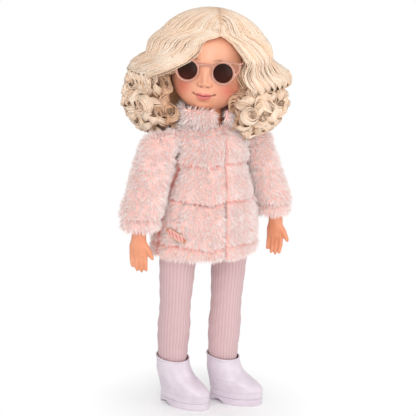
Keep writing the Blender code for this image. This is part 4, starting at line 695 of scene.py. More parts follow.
def make_finishes():
    FINISHES.update({
        "skin": vinyl_finish("limb_vinyl", srgb(231, 157, 122), srgb(223, 145, 108)),
        "face": face_finish(),
        "hair": hair_finish(),
        "fur": fur_finish(),
        "tights": tights_finish(),
        "boot": boot_finish(),
        "frame": plastic_finish("frame_plastic_looks", srgb(192, 136, 117), srgb(180, 122, 102)),
        "nylon": plastic_finish("nylon_looks", srgb(236, 234, 226), srgb(224, 220, 210), 0.42),
        "lens": lens_finish(),
        "cloth": cloth_finish("body_cloth", srgb(226, 206, 190), srgb(198, 172, 152)),
        "elastic": cloth_finish("elastic_braid", srgb(242, 240, 234), srgb(206, 202, 194), 2200.0),
        "tape": cloth_finish("closure_tape_looks", srgb(232, 190, 184), srgb(206, 156, 150), 3000.0),
        "lining": cloth_finish("lining_cloth", srgb(232, 158, 146), srgb(214, 132, 120), 1800.0),
        "metal": metal_finish("weight_steel"),
        "eye": eye_finish(),
        "patch": patch_finish(),
    })


def dress(obj, finish, body, slot, *nodes):
    """Gives a piece its finish and its body, and hides the solids that it stands for. Its slot is not used.
    """
    obj.data.materials.clear()
    obj.data.materials.append(FINISHES[finish].material)
    if body:
        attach(obj, body)
    if nodes:
        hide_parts(*nodes)
    return obj


# Legs, tights and boots

def foot_place(side):
    return np.array((SIDES[side] * (LEG_X - FOOT_IN), FOOT_BEHIND[side], 0.0))


def leg_axis(share, side):
    lean = np.clip((LEAN_SHARE - share) / (LEAN_SHARE - ANKLE_SHARE), 0, 1)
    hip = np.array((SIDES[side] * LEG_X, 0.0, 0.0))
    return hip + (foot_place(side) - hip) * np.asarray(lean)[..., None]


def make_tights(side):
    """A closed tube of knit, ribbed along the leg, with a column of eyelets between ribs."""
    columns, rows, lining_rows = RIB_COUNT * 5, 170, 12
    low, high = TIGHTS_FOOT / HIP_HEIGHT, TIGHTS_TOP_SHARE
    share = np.linspace(low, high, rows)[:, None]
    turn = np.linspace(0, 2 * np.pi, columns, endpoint=False)[None, :]
    rib = 0.5 + 0.5 * np.cos(turn * RIB_COUNT + 0.25 * np.sin(share * 40))
    height = share * HIP_HEIGHT
    odd_rib = np.floor(turn * RIB_COUNT / (2 * np.pi)) % 2
    step = 0.5 + 0.5 * np.cos(2 * np.pi * height / EYELET_PITCH + np.pi * odd_rib)
    eyelet = (1 - rib) ** 4 * step ** 2
    radius = along(LEG_SHARES, share) * THIGH_RADIUS + GAP + TIGHTS_WALL
    rib = 0.25 + 0.5 * rib
    slack = LEG_SLACK * np.sin(height * 330 + 2 * np.sin(turn * 3))
    outer = radius + RIB_RISE * (rib - 0.4) - EYELET_DEPTH * eyelet + slack
    inner_rows = np.linspace(high, low, lining_rows)[:, None]
    inner = along(LEG_SHARES, inner_rows) * THIGH_RADIUS + GAP + 0 * turn
    rings = []
    for shares, reach in ((share, outer), (inner_rows, inner)):
        centre = leg_axis(shares[:, 0], side)[:, None, :]
        x, y = reach * np.sin(turn), -reach * np.cos(turn)
        ring = centre + np.stack([x, y, np.broadcast_to(shares * HIP_HEIGHT, x.shape)], -1)
        rings.append(ring)
    tube = closed_tube(f"knit_leg_{side}", np.concatenate(rings))
    spare = np.zeros((len(inner_rows), columns))
    attribute(tube, "rib", np.concatenate([np.broadcast_to(rib, (rows, columns)), spare]))
    attribute(tube, "eyelet", np.concatenate([eyelet, spare]))
    dress(tube, "tights", f"{side}_leg", "tights", f"tights_leg_{side}")
    return tube


def make_seat():
    """The seat of the tights round the hips, ribbed as the legs are."""
    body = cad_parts["tights_waist"].data
    solid = np.array([v.co for v in body.vertices])
    columns, rows = RIB_COUNT * 8, 30
    turn = np.linspace(0, 2 * np.pi, columns, endpoint=False)
    angle = np.arctan2(solid[:, 0], -solid[:, 1])
    reach = np.hypot(solid[:, 0], solid[:, 1])
    levels = sorted({round(float(z), 5) for z in solid[:, 2]})
    outlines = []
    for level in levels:
        near = np.abs(solid[:, 2] - level) < 0.02 * MM
        far = near & (reach > np.median(reach[near]))
        order = np.argsort(angle[far])
        outlines.append(np.interp(turn, angle[far][order] % (2 * np.pi), reach[far][order], period=2 * np.pi))
    outlines = np.array(outlines)
    heights = np.linspace(levels[0], levels[-1], rows)
    rib = 0.5 + 0.5 * np.cos(turn * RIB_COUNT * 2)
    rings = []
    for grow, order in ((0.0, 1), (-TIGHTS_WALL, -1)):
        for height in heights[::order]:
            ring = np.array([np.interp(height, levels, outlines[:, k]) for k in range(columns)])
            ring = ring + grow + (SEAT_RIB_RISE * (rib - 1) if not grow else 0)
            rings.append(np.stack([ring * np.sin(turn), -ring * np.cos(turn), np.full(columns, height)], -1))
    points = np.array(rings)
    seat = closed_tube("knit_seat", points)
    attribute(seat, "rib", np.broadcast_to(rib, (len(points), columns)))
    dress(seat, "tights", "torso", "tights", "tights_waist")
    return seat


def boot_ring(share, inset, height, side, fall=0.0, columns=112):
    """One outline of the boot, round at the shaft and egg-shaped at the sole."""
    toe, width = along(BOOT_SHARES, share, 1), along(BOOT_SHARES, share, 2)
    shaft = along(LEG_SHARES, BOOT_HEIGHT / HIP_HEIGHT) * THIGH_RADIUS + GAP + TIGHTS_WALL + BOOT_CLEARANCE
    radius = shaft + BOOT_WALL - inset
    half_width = blend(radius, SOLE_HALF_WIDTH - inset, width)
    front = radius + TOE_REACH * toe
    back = radius + HEEL_OVERHANG * width
    half = (front + back) / 2
    angle = np.linspace(0, 2 * np.pi, columns, endpoint=False)
    y = (back - front) / 2 - half * np.cos(angle)
    narrow = 1 - TOE_NARROW * width * np.maximum(0.0, -np.cos(angle))
    across = np.sin(angle)
    x = half_width * narrow * np.copysign(np.abs(across) ** blend(1.0, SOLE_SQUARE, width), across)
    spin = math.radians(FOOT_TURN[side])
    stand = foot_place(side)
    return np.stack([
        stand[0] + x * math.cos(spin) - y * math.sin(spin),
        stand[1] + x * math.sin(spin) + y * math.cos(spin),
        height + fall * y / half + 0 * x,
    ], -1)


def make_boot(side):
    foot_bottom = SOLE_HEIGHT + GAP
    rings, inside = [], []

    def add(share, inset, height, fall=0.0, dark=0.0):
        rings.append(boot_ring(share, inset, height, side, fall))
        inside.append(dark)

    for share in np.linspace(0, 0.95, 46):
        welt = 0.45 * MM * float(hump(share, 0.13, 0.03))
        fold = 0.20 * MM * math.sin(share * 50) * float(hump(share, 0.44, 0.14))
        room = -0.55 * MM * float(ease(0.1, 0.2, share) * ease(0.85, 0.7, share))
        add(share, welt + fold + room, foot_bottom + (BOOT_HEIGHT - foot_bottom) * share)
    top = BOOT_HEIGHT - RIM_ROLL
    for turn in np.linspace(-100, 90, 12):
        a = math.radians(turn)
        add(1.0, -RIM_ROLL * math.cos(a) * 0.9, top + RIM_ROLL * math.sin(a), RIM_FALL)
    # The inner wall, painted dark brown as the shade inside the boot.
    bed = foot_bottom + BOOT_WALL
    for share in np.linspace(0.98, 0, 16):
        fall = RIM_FALL * float(ease(0.8, 1.0, share))
        add(share, BOOT_WALL, blend(bed, BOOT_HEIGHT, share), fall, 0.9)
    boot = lofted(f"moulded_boot_{side}", rings)
    shades = np.repeat(np.array(inside), len(rings[0]))
    attribute(boot, "painted_inner_shade", np.concatenate([shades, inside[:1], inside[-1:]]))
    dress(boot, "boot", f"{side}_leg", "boot_vinyl", f"boot_{side}")
    rings = [
        boot_ring(0.0, inset * MM - SOLE_FULLER, SOLE_HEIGHT * share, side) for share, inset in SOLE_PROFILE
    ]
    sole = lofted(f"moulded_sole_{side}", rings)
    carve_arch(sole, side)
    dress(sole, "boot", f"{side}_leg", "boot_vinyl", f"boot_sole_{side}")
    make_buttons(side)


def carve_arch(sole, side):
    """Hollows the sole between heel and tread."""
    spin = math.radians(FOOT_TURN[side])
    ahead = np.array((math.sin(spin), -math.cos(spin), 0.0))
    points = coordinates(sole)
    off = (points - foot_place(side)) @ ahead + ARCH_BEHIND
    room = np.sqrt(np.maximum(0.0, ARCH_RADIUS ** 2 - off ** 2)) - ARCH_RADIUS * 0.5
    points[:, 2] = np.maximum(points[:, 2], np.minimum(room, SOLE_HEIGHT * 0.96))
    move_points(sole, points)


def make_buttons(side):
    """Three moulded buttons up the outside of the boot."""
    spin = math.radians(FOOT_TURN[side])
    sign = SIDES[side]
    out = np.array((sign * math.cos(spin), sign * math.sin(spin), 0.0))
    up = np.array((0.0, 0.0, 1.0))
    across = np.cross(out, up)
    angle = np.linspace(0, 2 * np.pi, 28, endpoint=False)
    for i in range(BUTTON_COUNT):
        height = BOOT_HEIGHT - BUTTON_TOP_DROP - i * BUTTON_PITCH
        share = (height - SOLE_HEIGHT) / (BOOT_HEIGHT - SOLE_HEIGHT)
        ring = boot_ring(share, 0.0, height, side, columns=360)
        reach = (ring - foot_place(side)) @ out
        middle = ring[int(np.argmax(reach))]
        disc = across * np.cos(angle)[:, None] + up * np.sin(angle)[:, None]
        rings = [middle + out * rise * MM + disc * BUTTON_RADIUS * size for rise, size in BUTTON_PROFILE]
        button = lofted(f"boot_button_{side}_{i + 1}", rings)
        dress(button, "boot", f"{side}_leg", "boot_vinyl")


# Head and face

def head_surface(azimuth, latitude):
    """The plain shape of the head, without its features. Degrees in, metres out."""
    a, b = np.radians(azimuth), np.radians(latitude)
    up = np.where(latitude > 0, HEAD_UP, HEAD_DOWN)
    low = np.maximum(0.0, -np.sin(b))
    face = np.maximum(0.0, np.cos(a))
    cheek = 1 + 0.13 * hump(latitude, -28, 20) - 0.10 * np.maximum(0.0, low - 0.75)
    x = HEAD_WIDE * np.cos(b) * np.sin(a) * cheek
    y = -HEAD_DEEP * np.cos(b) * np.cos(a)
    y = y * (1 + 0.05 * hump(latitude, -30, 26) * face - 0.20 * low * np.maximum(0.0, -np.cos(a)))
    return np.stack([x, y, up * np.sin(b)], -1)


def mouth_lines(x):
    """Heights of the line between the lips, the top of the upper and the foot of the lower, in mm."""
    t = np.clip(np.abs(x) / 10.8, 0, 1)
    line = MOUTH_LEVEL + 1.2 * t ** 2 - 0.5 * hump(x, 0, 3.2)
    bow = 1 - 0.42 * hump(x, 0, 1.7)
    upper = line + UPPER_LIP * np.maximum(0, 1 - (x / 8.6) ** 2) ** 0.9 * bow
    lower = line - LOWER_LIP * np.maximum(0, 1 - (x / 8.2) ** 6) ** 0.6
    return line, upper, lower


def face_relief(x, z, front):
    """How far the face stands forward of the plain head, in mm."""
    side = np.abs(x)
    line, upper, lower = mouth_lines(x)
    rise = 0 * x
    for high, across, wide, level, tall in FACE_HUMPS:
        rise += high * hump(side, across, wide) * hump(z, level, tall)
    share = np.clip((z - line) / np.maximum(upper - line, 0.2), 0, 1)
    rise += UPPER_LIP_RISE * np.sin(np.pi * share) * (upper - line > 0.25)
    share = np.clip((line - z) / np.maximum(line - lower, 0.2), 0, 1)
    rise += LOWER_LIP_RISE * np.sin(np.pi * share) ** 0.8 * (line - lower > 0.25)
    rise -= 1.1 * hump(z, line, 0.55) * (side < 12)
    return rise * front


def make_head():
    columns, rows = 264, 204
    u, v = np.linspace(0, 1, columns, endpoint=False), np.linspace(0, 1, rows)
    # the columns and rows stand closer together at the face
    azimuth = 360 * u - np.degrees(0.62 * np.sin(2 * np.pi * u))
    latitude = 88 - 154 * (v - 0.10 * np.sin(2 * np.pi * v))
    azimuth, latitude = np.meshgrid(azimuth, latitude)
    points = head_surface(azimuth, latitude)
    x, z = points[..., 0] / MM, points[..., 2] / MM
    turn = (azimuth + 180) % 360 - 180
    front = ease(100, 55, np.abs(turn))
    face_side = ease(110, 60, np.abs(turn))
    points[..., 1] -= face_relief(x, z, front) * MM
    # a fuller jaw, drawn down and a little across
    points[..., 2] -= 6.5 * MM * ease(-33 + 13 * ease(6, 26, np.abs(x)), -45, z) * face_side
    points[..., 0] *= 1 + 0.07 * hump(z, -36, 10) * face_side
    points[..., 0] -= 1.4 * MM * ease(-22, -40, z)
    points[..., 0] += np.sign(turn) * EAR_RISE * hump(np.abs(turn), 96, 7) * hump(latitude, -10, 14)
    eye = np.hypot(np.abs(x) - EYE_OUT / MM, z + EYE_DROP / MM)
    pit = ease(6.6, 5.3, eye) * (front > 0.2)
    points[..., 1] = blend(points[..., 1], EYE_PIT_Y, pit)
    level = np.array(Matrix.Rotation(-math.radians(HEAD_ROLL), 3, "Y"))
    a = np.radians(azimuth[0])
    base = []
    for radius, rise in NECK_RINGS:
        ring = np.stack([radius * np.sin(a), -radius * np.cos(a), np.full(columns, rise)], -1)
        base.append(ring @ level.T + np.array((0.0, 0.0, HEAD_BASE)))
    head = lofted("doll_head", placed(np.array(list(points + HEAD_CENTRE) + base), worn()))
    masks = face_paint(x, z, face_side)
    masks["shadow"] += 0.4 * ease(66, 88, np.abs(turn)) * ease(-44, -20, z)
    masks["lid"] = hump(eye, 6.4, 0.7) * 0.9 + pit
    spare = np.full(len(NECK_RINGS) * columns + 2, 0.0)
    for name, values in masks.items():
        attribute(head, name, np.concatenate([np.clip(values * (front > 0.02), 0, 1).ravel(), spare]))
    dress(head, "face", "head", "skin_vinyl", "head_shell")


def face_paint(x, z, face_side):
    """Shares of paint over the face, by the place across and up in mm."""
    line, upper, lower = mouth_lines(x)
    side = np.abs(x)
    fine = 0.32                 # softness of the lips' edge
    lips = ease(-fine, fine, z - line) * ease(-fine, fine, upper - z) * ease(9.0, 8.0, side)
    lips = np.maximum(lips, ease(-fine, fine, line - z) * ease(-fine, fine, z - lower) * ease(8.3, 7.5, side))
    between_lips = hump(z, line, 0.6) * ease(11.6, 10.6, side)
    corners = hump(side, MOUTH_CORNER[0], 1.1) * hump(z, MOUTH_CORNER[1], 0.9)
    # Painted shadow in the nostrils, given the mouth line's dark colour.
    nostrils = 0.9 * hump(side, 3.7, 1.7) * hump(z, -23.2, 0.95)
    under_lips = 0.5 * hump(x, 0, 5.5) * hump(z, -38.0, 1.3)
    by_nose = 0.30 * hump(side, 7.8, 1.1) * hump(z, -21.6, 1.8)
    under_hair = 0.6 * ease(22, 34, z) * face_side
    brow_arch = 7.4 - 0.035 * (side - 13) ** 2
    return {
        "lips": lips,
        "line": np.maximum(np.maximum(between_lips, corners), nostrils),
        "shadow": under_lips + by_nose + under_hair,
        "blush": 0.62 * hump(side, 24, 9) * hump(z, -25, 8),
        "brow": 0.8 * hump(z, brow_arch, 0.62) * ease(6, 8.5, side) * ease(27, 22, side),
    }


def make_eyes():
    """Globes that roll on their pins, with a painted iris and a lid that comes down as they shut."""
    for side, sign in SIDES.items():
        columns, rows = 48, 34
        polar = np.linspace(2, 178, rows)[:, None]
        turn = np.linspace(0, 360, columns, endpoint=False)[None, :]
        a, b = np.radians(turn), np.radians(polar)
        out = np.stack([np.sin(b) * np.cos(a), -np.cos(b) + 0 * a, np.sin(b) * np.sin(a)], -1)
        centre = HEAD_CENTRE + np.array((sign * EYE_OUT, -EYE_FORWARD, -EYE_DROP))
        globe = lofted(f"eyeball_{side}", placed(centre + out * EYE_RADIUS, worn()))
        off = polar + 0 * turn
        for name, share, ends in (
            ("iris", ease(33, 30, off), [1.0, 0.0]), ("pupil", ease(14, 12, off), [1.0, 0.0]),
            ("lid", ease(0.50, 0.54, out[..., 2]), [0.0, 0.0]),
        ):
            attribute(globe, name, np.concatenate([share.ravel(), ends]))
        dress(globe, "eye", f"{side}_eye", "eye", f"eye_{side}")


# Sunglasses

def lens_centre(sign):
    return HEAD_CENTRE + np.array((sign * LENS_SPACING / 2, -FRAME_FORWARD, -FRAME_DROP))


def bar(name, path, wide, tall):
    """A bar with rounded corners along a path. Its width lies across the way, level."""
    path = np.asarray(path)
    way = unit(np.gradient(path, axis=0))
    level = np.cross(way, (0.0, 0.0, 1.0))
    flat = np.linalg.norm(level, axis=1) < 0.3
    level[flat] = (0.0, 1.0, 0.0)
    level = unit(level)
    rise = np.cross(level, way)
    c, s = rounded(10, 0.6)
    rings = path[:, None] + level[:, None] * (wide / 2 * c)[:, None] + rise[:, None] * (tall / 2 * s)[:, None]
    return lofted(name, rings)


def rounded(columns, power):
    """Sine and cosine round a section, squared off by a power below 1."""
    angle = 2 * np.pi * (np.arange(columns) + 0.5) / columns
    c, s = np.cos(angle), np.sin(angle)
    return np.copysign(np.abs(c) ** power, c), np.copysign(np.abs(s) ** power, s)


def frame_half(sign):
    """The rim, brow bar, wing and temple of one side."""
    centre = lens_centre(sign)
    ring_radius = (RIM_OUTER + RIM_INNER) / 2
    around = np.linspace(0, 2 * np.pi, 73)[:-1]
    c, s = rounded(12, 0.7)
    out = np.stack([np.cos(around), 0 * around, np.sin(around)], -1)
    reach = ring_radius + RIM_FULLER / 2 + ((RIM_OUTER - RIM_INNER) / 2 + RIM_FULLER) * c
    points = centre + out[:, None] * reach[None, :, None]
    points[..., 1] += (RIM_DEPTH / 2 * s)[None, :]
    tip = centre + np.array((sign * WING_REACH, 0, ring_radius * 0.96))
    top = centre + np.array((0, 0, ring_radius))
    brow = [blend(top, tip, t) for t in np.linspace(0, 1.0, 8)]
    foot = math.radians(WING_FOOT_ANGLE)
    low = centre + np.array((sign * ring_radius * math.cos(foot), 0, ring_radius * math.sin(foot)))
    elbow = np.array((tip[0], tip[1], blend(low[2], tip[2], 0.55)))
    wing = [tip + np.array((0, 0, BAR * 0.4)), blend(tip, elbow, 0.5), elbow, blend(elbow, low, 0.5), low]
    ear = HEAD_WIDE * TEMPLE_AT_SHARE + GAP + BAR / 2
    temple = [tip]
    for share in np.linspace(0.04, 1.0, 24):
        x = min(ear, blend(abs(tip[0]), ear, share * 1.6))
        drop = HOOK_DROP * float(max(0.0, share - 0.75)) * 2
        temple.append(np.array((sign * x, tip[1] + TEMPLE_LENGTH * share, tip[2] - drop)))
    return [
        closed_tube("rim", points), bar("brow", brow, RIM_DEPTH * 0.9, BAR * 0.85),
        bar("wing", wing, RIM_DEPTH * 0.84, WING_HEIGHT), bar("temple", temple, BAR, BAR * 1.2),
    ]


def make_sunglasses():
    parts = [part for sign in SIDES.values() for part in frame_half(sign)]
    inner = LENS_SPACING / 2 - math.sqrt(RIM_OUTER ** 2 - BRIDGE_RISE ** 2) + BAR * 0.5
    shares = np.linspace(-1, 1, 13)
    path = [lens_centre(0) + np.array((s * inner, 0, BRIDGE_RISE - BAR * 0.7 * s * s)) for s in shares]
    parts.append(bar("bridge", path, RIM_DEPTH * 0.88, BAR * 1.2))
    whole = joined("sunglasses", parts)
    remeshed(whole, FRAME_VOXEL, 1)
    move_points(whole, placed(coordinates(whole), worn()))
    dress(whole, "frame", "head", "frame_plastic", "sunglasses_frame")
    angle = np.linspace(0, 2 * np.pi, 64, endpoint=False)
    disc = np.stack([np.cos(angle), 0 * angle, np.sin(angle)], -1) * (RIM_INNER - GAP)
    for side, sign in SIDES.items():
        middle = lens_centre(sign)
        rings = [middle + disc * share + np.array((0, deep * MM, 0)) for share, deep in LENS_PROFILE]
        glass = lofted(f"tinted_lens_{side}", placed(np.array(rings), worn()))
        dress(glass, "lens", "head", "lens", f"lens_{side}")


# Hair

def crown_height(x, y):
    """Height of the hair over the top of the head, at a place in plan."""
    back = y - HEAD_CENTRE[1]
    azimuth = np.degrees(np.arctan2(x, -back))
    step = np.hypot(x, back) / hair_reach(azimuth, 0 * azimuth)
    rim, top = HEAD_CENTRE[2] + HAIR_RIM_RISE, HEAD_CENTRE[2] + HEAD_UP + HAIR_TOP
    part = PART_GROOVE * hump(azimuth, PART_AZIMUTH, 11) * step
    return rim + (top - rim) * (1 - np.clip(step, 0, 1) ** 2.3) - part


def hair_reach(azimuth, share):
    """The outside of the hair, as a distance from the neck's axis."""
    signed = (azimuth + 180) % 360 - 180
    turn = np.abs(signed)
    side = along(HAIR_SIDE_SHARES, share)
    side = side + HAIR_RIGHT_MORE * ease(0.45, 0.62, share) * ease(-10, -70, signed)
    back = ease(0, 1, np.clip((turn - 90) / 90, 0, 1) ** 0.75)
    face = np.minimum(1.0, np.clip((84 - turn) / 84, 0, 1) ** 1.2 * 1.9)
    reach = np.where(turn > 90, blend(side, along(HAIR_BACK_SHARES, share), back),
                     blend(side, along(HAIR_FACE_SHARES, share), face))
    length = share * (HEAD_CENTRE[2] + HAIR_RIM_RISE - HAIR_BOTTOM)
    phase = 2 * np.pi * length / HAIR_WAVE_PITCH + np.radians(turn) * 3.0
    lean = HAIR_LEAN * hump(share, 0.2, 0.16) * np.sin(np.radians(azimuth))
    wave = HAIR_WAVE * np.sin(phase) * ease(0.04, 0.50, share) * (1 - 0.4 * share)
    return HEAD_WIDE * reach - lean + wave


def fall_point(azimuth, share, sink):
    """A point of the falling hair, sunk by so much below its outside."""
    a = np.radians(azimuth)
    reach = hair_reach(azimuth, share) - sink
    rim = HEAD_CENTRE[2] + HAIR_RIM_RISE
    level = HAIR_BOTTOM + reach * np.sin(a) * math.tan(math.radians(HEAD_ROLL))
    height = blend(rim, level, share)
    shift = HEAD_CENTRE[1] * (1 - share)
    return np.stack([reach * np.sin(a), shift - reach * np.cos(a), height], -1)


FALLS = {
    "right": (lambda s: -along(RIGHT_EDGE_SHARES, s), lambda s: -BACK_EDGE + 0 * s),
    "left": (lambda s: along(LEFT_EDGE_SHARES, s), lambda s: BACK_EDGE + 0 * s),
    "back": (lambda s: BACK_EDGE + 0 * s, lambda s: 360 - BACK_EDGE + 0 * s),
}


def lock_path(fall, v, sink, length, points=54):
    """The middle line of a lock: from the parting, over the crown and down.

    A lock that lies deep in the hair starts close under its outside.
    """
    rooted = min(max(sink, 0.0), ROOT_DEPTH)
    near, far = FALLS[fall]
    front = fall_point(PART_AZIMUTH, 0.0, ROOT_DEPTH)[:2]
    centre = HEAD_CENTRE[:2] + np.array(PART_END)
    stop = fall_point(blend(near(0.0), far(0.0), v), 0.0, rooted)
    direction = unit(stop[:2] - centre)
    if fall == "back":
        start = centre + np.array((0.004 * math.sin(v * 9), 0.002))
    else:
        start = blend(front, centre, min(1.0, v / PART_SHARE))
        line = unit(centre - front)
        sideways = np.array((line[1], -line[0])) * SIDES[fall]
        direction = unit(blend(sideways, direction, min(1.0, v / SPREAD_SHARE)))
    q = np.linspace(0, 1, CROWN_POINTS, endpoint=False)[:, None]
    control = start + direction * float(np.linalg.norm(stop[:2] - start)) * 0.55
    plan = (1 - q) ** 2 * start + 2 * q * (1 - q) * control + q * q * stop[:2]
    q = q[:, 0]
    height = crown_height(plan[:, 0], plan[:, 1]) - rooted * ease(0, 0.5, q) - CROWN_SINK * (1 - q)
    height += (stop[2] - crown_height(stop[0], stop[1])) * q ** 2
    crown = np.concatenate([plan, height[:, None]], 1)
    # more points where the lock curls
    share = np.interp(np.linspace(0, 1, points - CROWN_POINTS), (0, 0.11, 0.34, 1), (0, 0.09, 0.48, length))
    azimuth = blend(near(share), far(share), v)
    wave = 2 * np.pi * share * 3.1 + np.radians(azimuth) * 2.2
    azimuth = azimuth + SWAY * np.sin(wave) * ease(0.10, 0.40, share)
    lift = FRINGE_LIFT * hump(share, 0.33, 0.13) * hump(azimuth, -38, 22) * (fall == "right")
    drop = ease(0.08, 0.45, share) if sink > 0 else ease(0.50, 0.75, share)
    deep = blend(rooted, sink, drop) + RINGLET_RADIUS * ease(0.40, 0.66, share) - lift - 0.0016 * np.cos(wave)
    return np.concatenate([crown, fall_point(azimuth, share, deep)])


def lock_faces(path):
    """Which way the flat of a lock faces: away from the middle of the head."""
    way = unit(np.gradient(path, axis=0))
    out = path - (HEAD_CENTRE - np.array((0.0, 0.0, 0.02)))
    return way, unit(out - way * np.sum(out * way, axis=1, keepdims=True))


def ringlet(path, first, radius, pitch, phase, hand):
    """Winds the lower part of a path into a corkscrew, its flat side facing outwards."""
    way, out = lock_faces(path)
    across = np.cross(way, out)
    step = np.linalg.norm(np.diff(path, axis=0, prepend=path[:1]), axis=1)
    beyond = np.cumsum(step) - np.cumsum(step)[first]
    grow = ease(0.0, 0.020, beyond)[:, None]
    narrow = 1 - 0.35 * ease(0.4, 1.0, beyond / beyond[-1])[:, None]
    angle = (phase + hand * 2 * np.pi * beyond / pitch)[:, None]
    turn = np.cos(angle) * across + np.sin(angle) * out
    return path + turn * radius * grow * narrow, unit(blend(out, turn, grow))


def pin_curl(path, hand, points=24):
    """Rolls a curl on the end of a path, so that it is seen end on."""
    way, out = lock_faces(path)
    across = unit(np.cross(way[-1], out[-1])) * hand
    q = np.linspace(0, 1, points)[1:, None]
    angle = 2 * np.pi * PIN_TURNS * q
    size = PIN_RADIUS * (1 - 0.45 * q)
    spoke = np.sin(angle) * way[-1] - np.cos(angle) * across
    loop = path[-1] + across * PIN_RADIUS + spoke * size + out[-1] * PIN_RISE * q
    late = ease(len(path) - 9, len(path) - 1, np.arange(len(path)))[:, None]
    faces = unit(blend(out, -across + 0 * out, late))
    return np.concatenate([path, loop]), np.concatenate([faces, spoke])


def lock_strands(path, faces, strands, wide, rng):
    """Strands laid side by side in a ribbon that follows a lock's path."""
    q = np.linspace(0, 1, len(path))
    way = unit(np.gradient(path, axis=0))
    faces = unit(faces - way * np.sum(faces * way, axis=1, keepdims=True))
    across = np.cross(way, faces)
    spread = np.linspace(-1, 1, strands) + rng.normal(0, 0.10, strands)
    gather = (0.42 + 0.58 * ease(0, 0.22, q)) * (1 - 0.25 * ease(0.4, 0.55, q) - 0.4 * ease(0.82, 1.0, q))
    u = (spread[:, None] * gather)[..., None] * wide
    domed = (1 - spread ** 2)[:, None] * 0.8 + rng.uniform(-0.5, 0.5, (strands, 1))
    w = (domed * (0.5 + 0.5 * gather))[..., None] * LOCK_THICKNESS
    slide = rng.uniform(0, 2 * np.pi, (strands, 1))
    wander = 0.5 * MM * np.sin(q[None, :] * 14 + slide)[..., None]
    return path[None] + across[None] * (u + wander) + faces[None] * w


PIN_CURLS = {("right", 0), ("left", 1)}
LOCK_LAYERS = {
    # locks, depth below the outside, strands, shortest, longest, half width, share of the fall covered
    "right": [
        (18, 0.0008, 25, 0.99, 1.05, 0.0062, 1.0), (13, 0.0075, 14, 0.86, 1.02, 0.0062, 1.0),
        (8, 0.0250, 14, 0.84, 1.02, 0.0066, 0.46),
    ],
    "left": [
        (16, 0.0008, 25, 0.99, 1.05, 0.0062, 1.0), (12, 0.0075, 14, 0.86, 1.02, 0.0062, 1.0),
        (8, 0.0250, 14, 0.84, 1.02, 0.0066, 0.46),
    ],
    "back": [(16, 0.0008, 22, 0.97, 1.03, 0.0070, 1.0), (11, 0.0075, 14, 0.84, 0.98, 0.0070, 1.0)],
}


def make_hair():
    rng = np.random.default_rng(SEED)
    for fall, layers in LOCK_LAYERS.items():
        for layer, row in enumerate(layers):
            hair_layer(fall, layer, row, rng)
        hair_base(fall)
    hair_cap()


def hair_layer(fall, layer, row, rng):
    """One layer of locks of a fall, as one mesh of strands."""
    locks, sink, strands, shortest, longest, wide, span = row
    made, tones = [], []
    for k in range(locks):
        v = (DEEP_LAYER_FROM if layer == 2 else 0.0) + span * (k + 0.5 + rng.uniform(-0.18, 0.18)) / locks
        if layer == 0 and k == 0:
            v = FIRST_LOCK
        length = rng.uniform(shortest, longest) + LENGTH_MORE[fall] * math.sin(math.pi * min(1.0, v * 1.1))
        path = lock_path(fall, v, sink + rng.uniform(-0.4, 0.4) * MM, length)
        first = int(rng.uniform(0.47, 0.56) * len(path))
        if layer == 0 and (fall, k) in PIN_CURLS:
            path = lock_path(fall, max(v, PIN_FROM), sink - PIN_OUT, PIN_LENGTH, 31)
            path, faces = pin_curl(path, SIDES[fall])
        else:
            size = RINGLET_RADIUS * rng.uniform(0.85, 1.2)
            pitch = RINGLET_PITCH * rng.uniform(0.9, 1.2)
            hand = 1 if (k + layer) % 2 else -1
            path, faces = ringlet(path, first, size, pitch, rng.uniform(0, 2 * np.pi), hand)
        made.append(lock_strands(path, faces, strands, wide, rng))
        edge = np.abs(np.linspace(-1, 1, strands)) ** 3
        tones.append(np.clip(rng.normal(0.72, 0.12) + rng.normal(0, 0.13, strands) - 0.35 * edge, 0, 1))
    paths = np.concatenate(made)
    count, points = paths.shape[:2]
    q = np.linspace(0, 1, points)
    radii = STRAND_RADIUS * (1 - 0.65 * ease(0.93, 1.0, q))[None, :] * rng.uniform(0.8, 1.15, count)[:, None]
    obj = tubes(f"curls_{fall}_{layer + 1}", placed(paths, worn()), radii)
    attribute(obj, "tone", np.repeat(np.concatenate(tones), 3 * points))
    attribute(obj, "depth", np.repeat(strand_depth(paths, q)[..., None], 3, axis=2))
    dress(obj, "hair", "head", "hair", *([f"hair_{fall}"] if layer == 0 else []))


def strand_depth(paths, q):
    """How shaded the strands are: at their start, low down, and where they lie under others."""
    away = np.linalg.norm((paths - HEAD_CENTRE)[..., :2], axis=-1)
    azimuth = np.degrees(np.arctan2(paths[..., 0], -(paths[..., 1] - HEAD_CENTRE[1])))
    rim = HEAD_CENTRE[2] + HAIR_RIM_RISE
    share = np.clip((rim - paths[..., 2]) / (rim - HAIR_BOTTOM), 0, 1)
    under = 0.55 * ease(0.006, 0.020, hair_reach(azimuth, share) - away) * (share > 0.05)
    return np.clip(under + 0.45 * ease(0.08, 0.0, q)[None, :] + 0.08 * ease(0.32, 0.6, share), 0, 1)


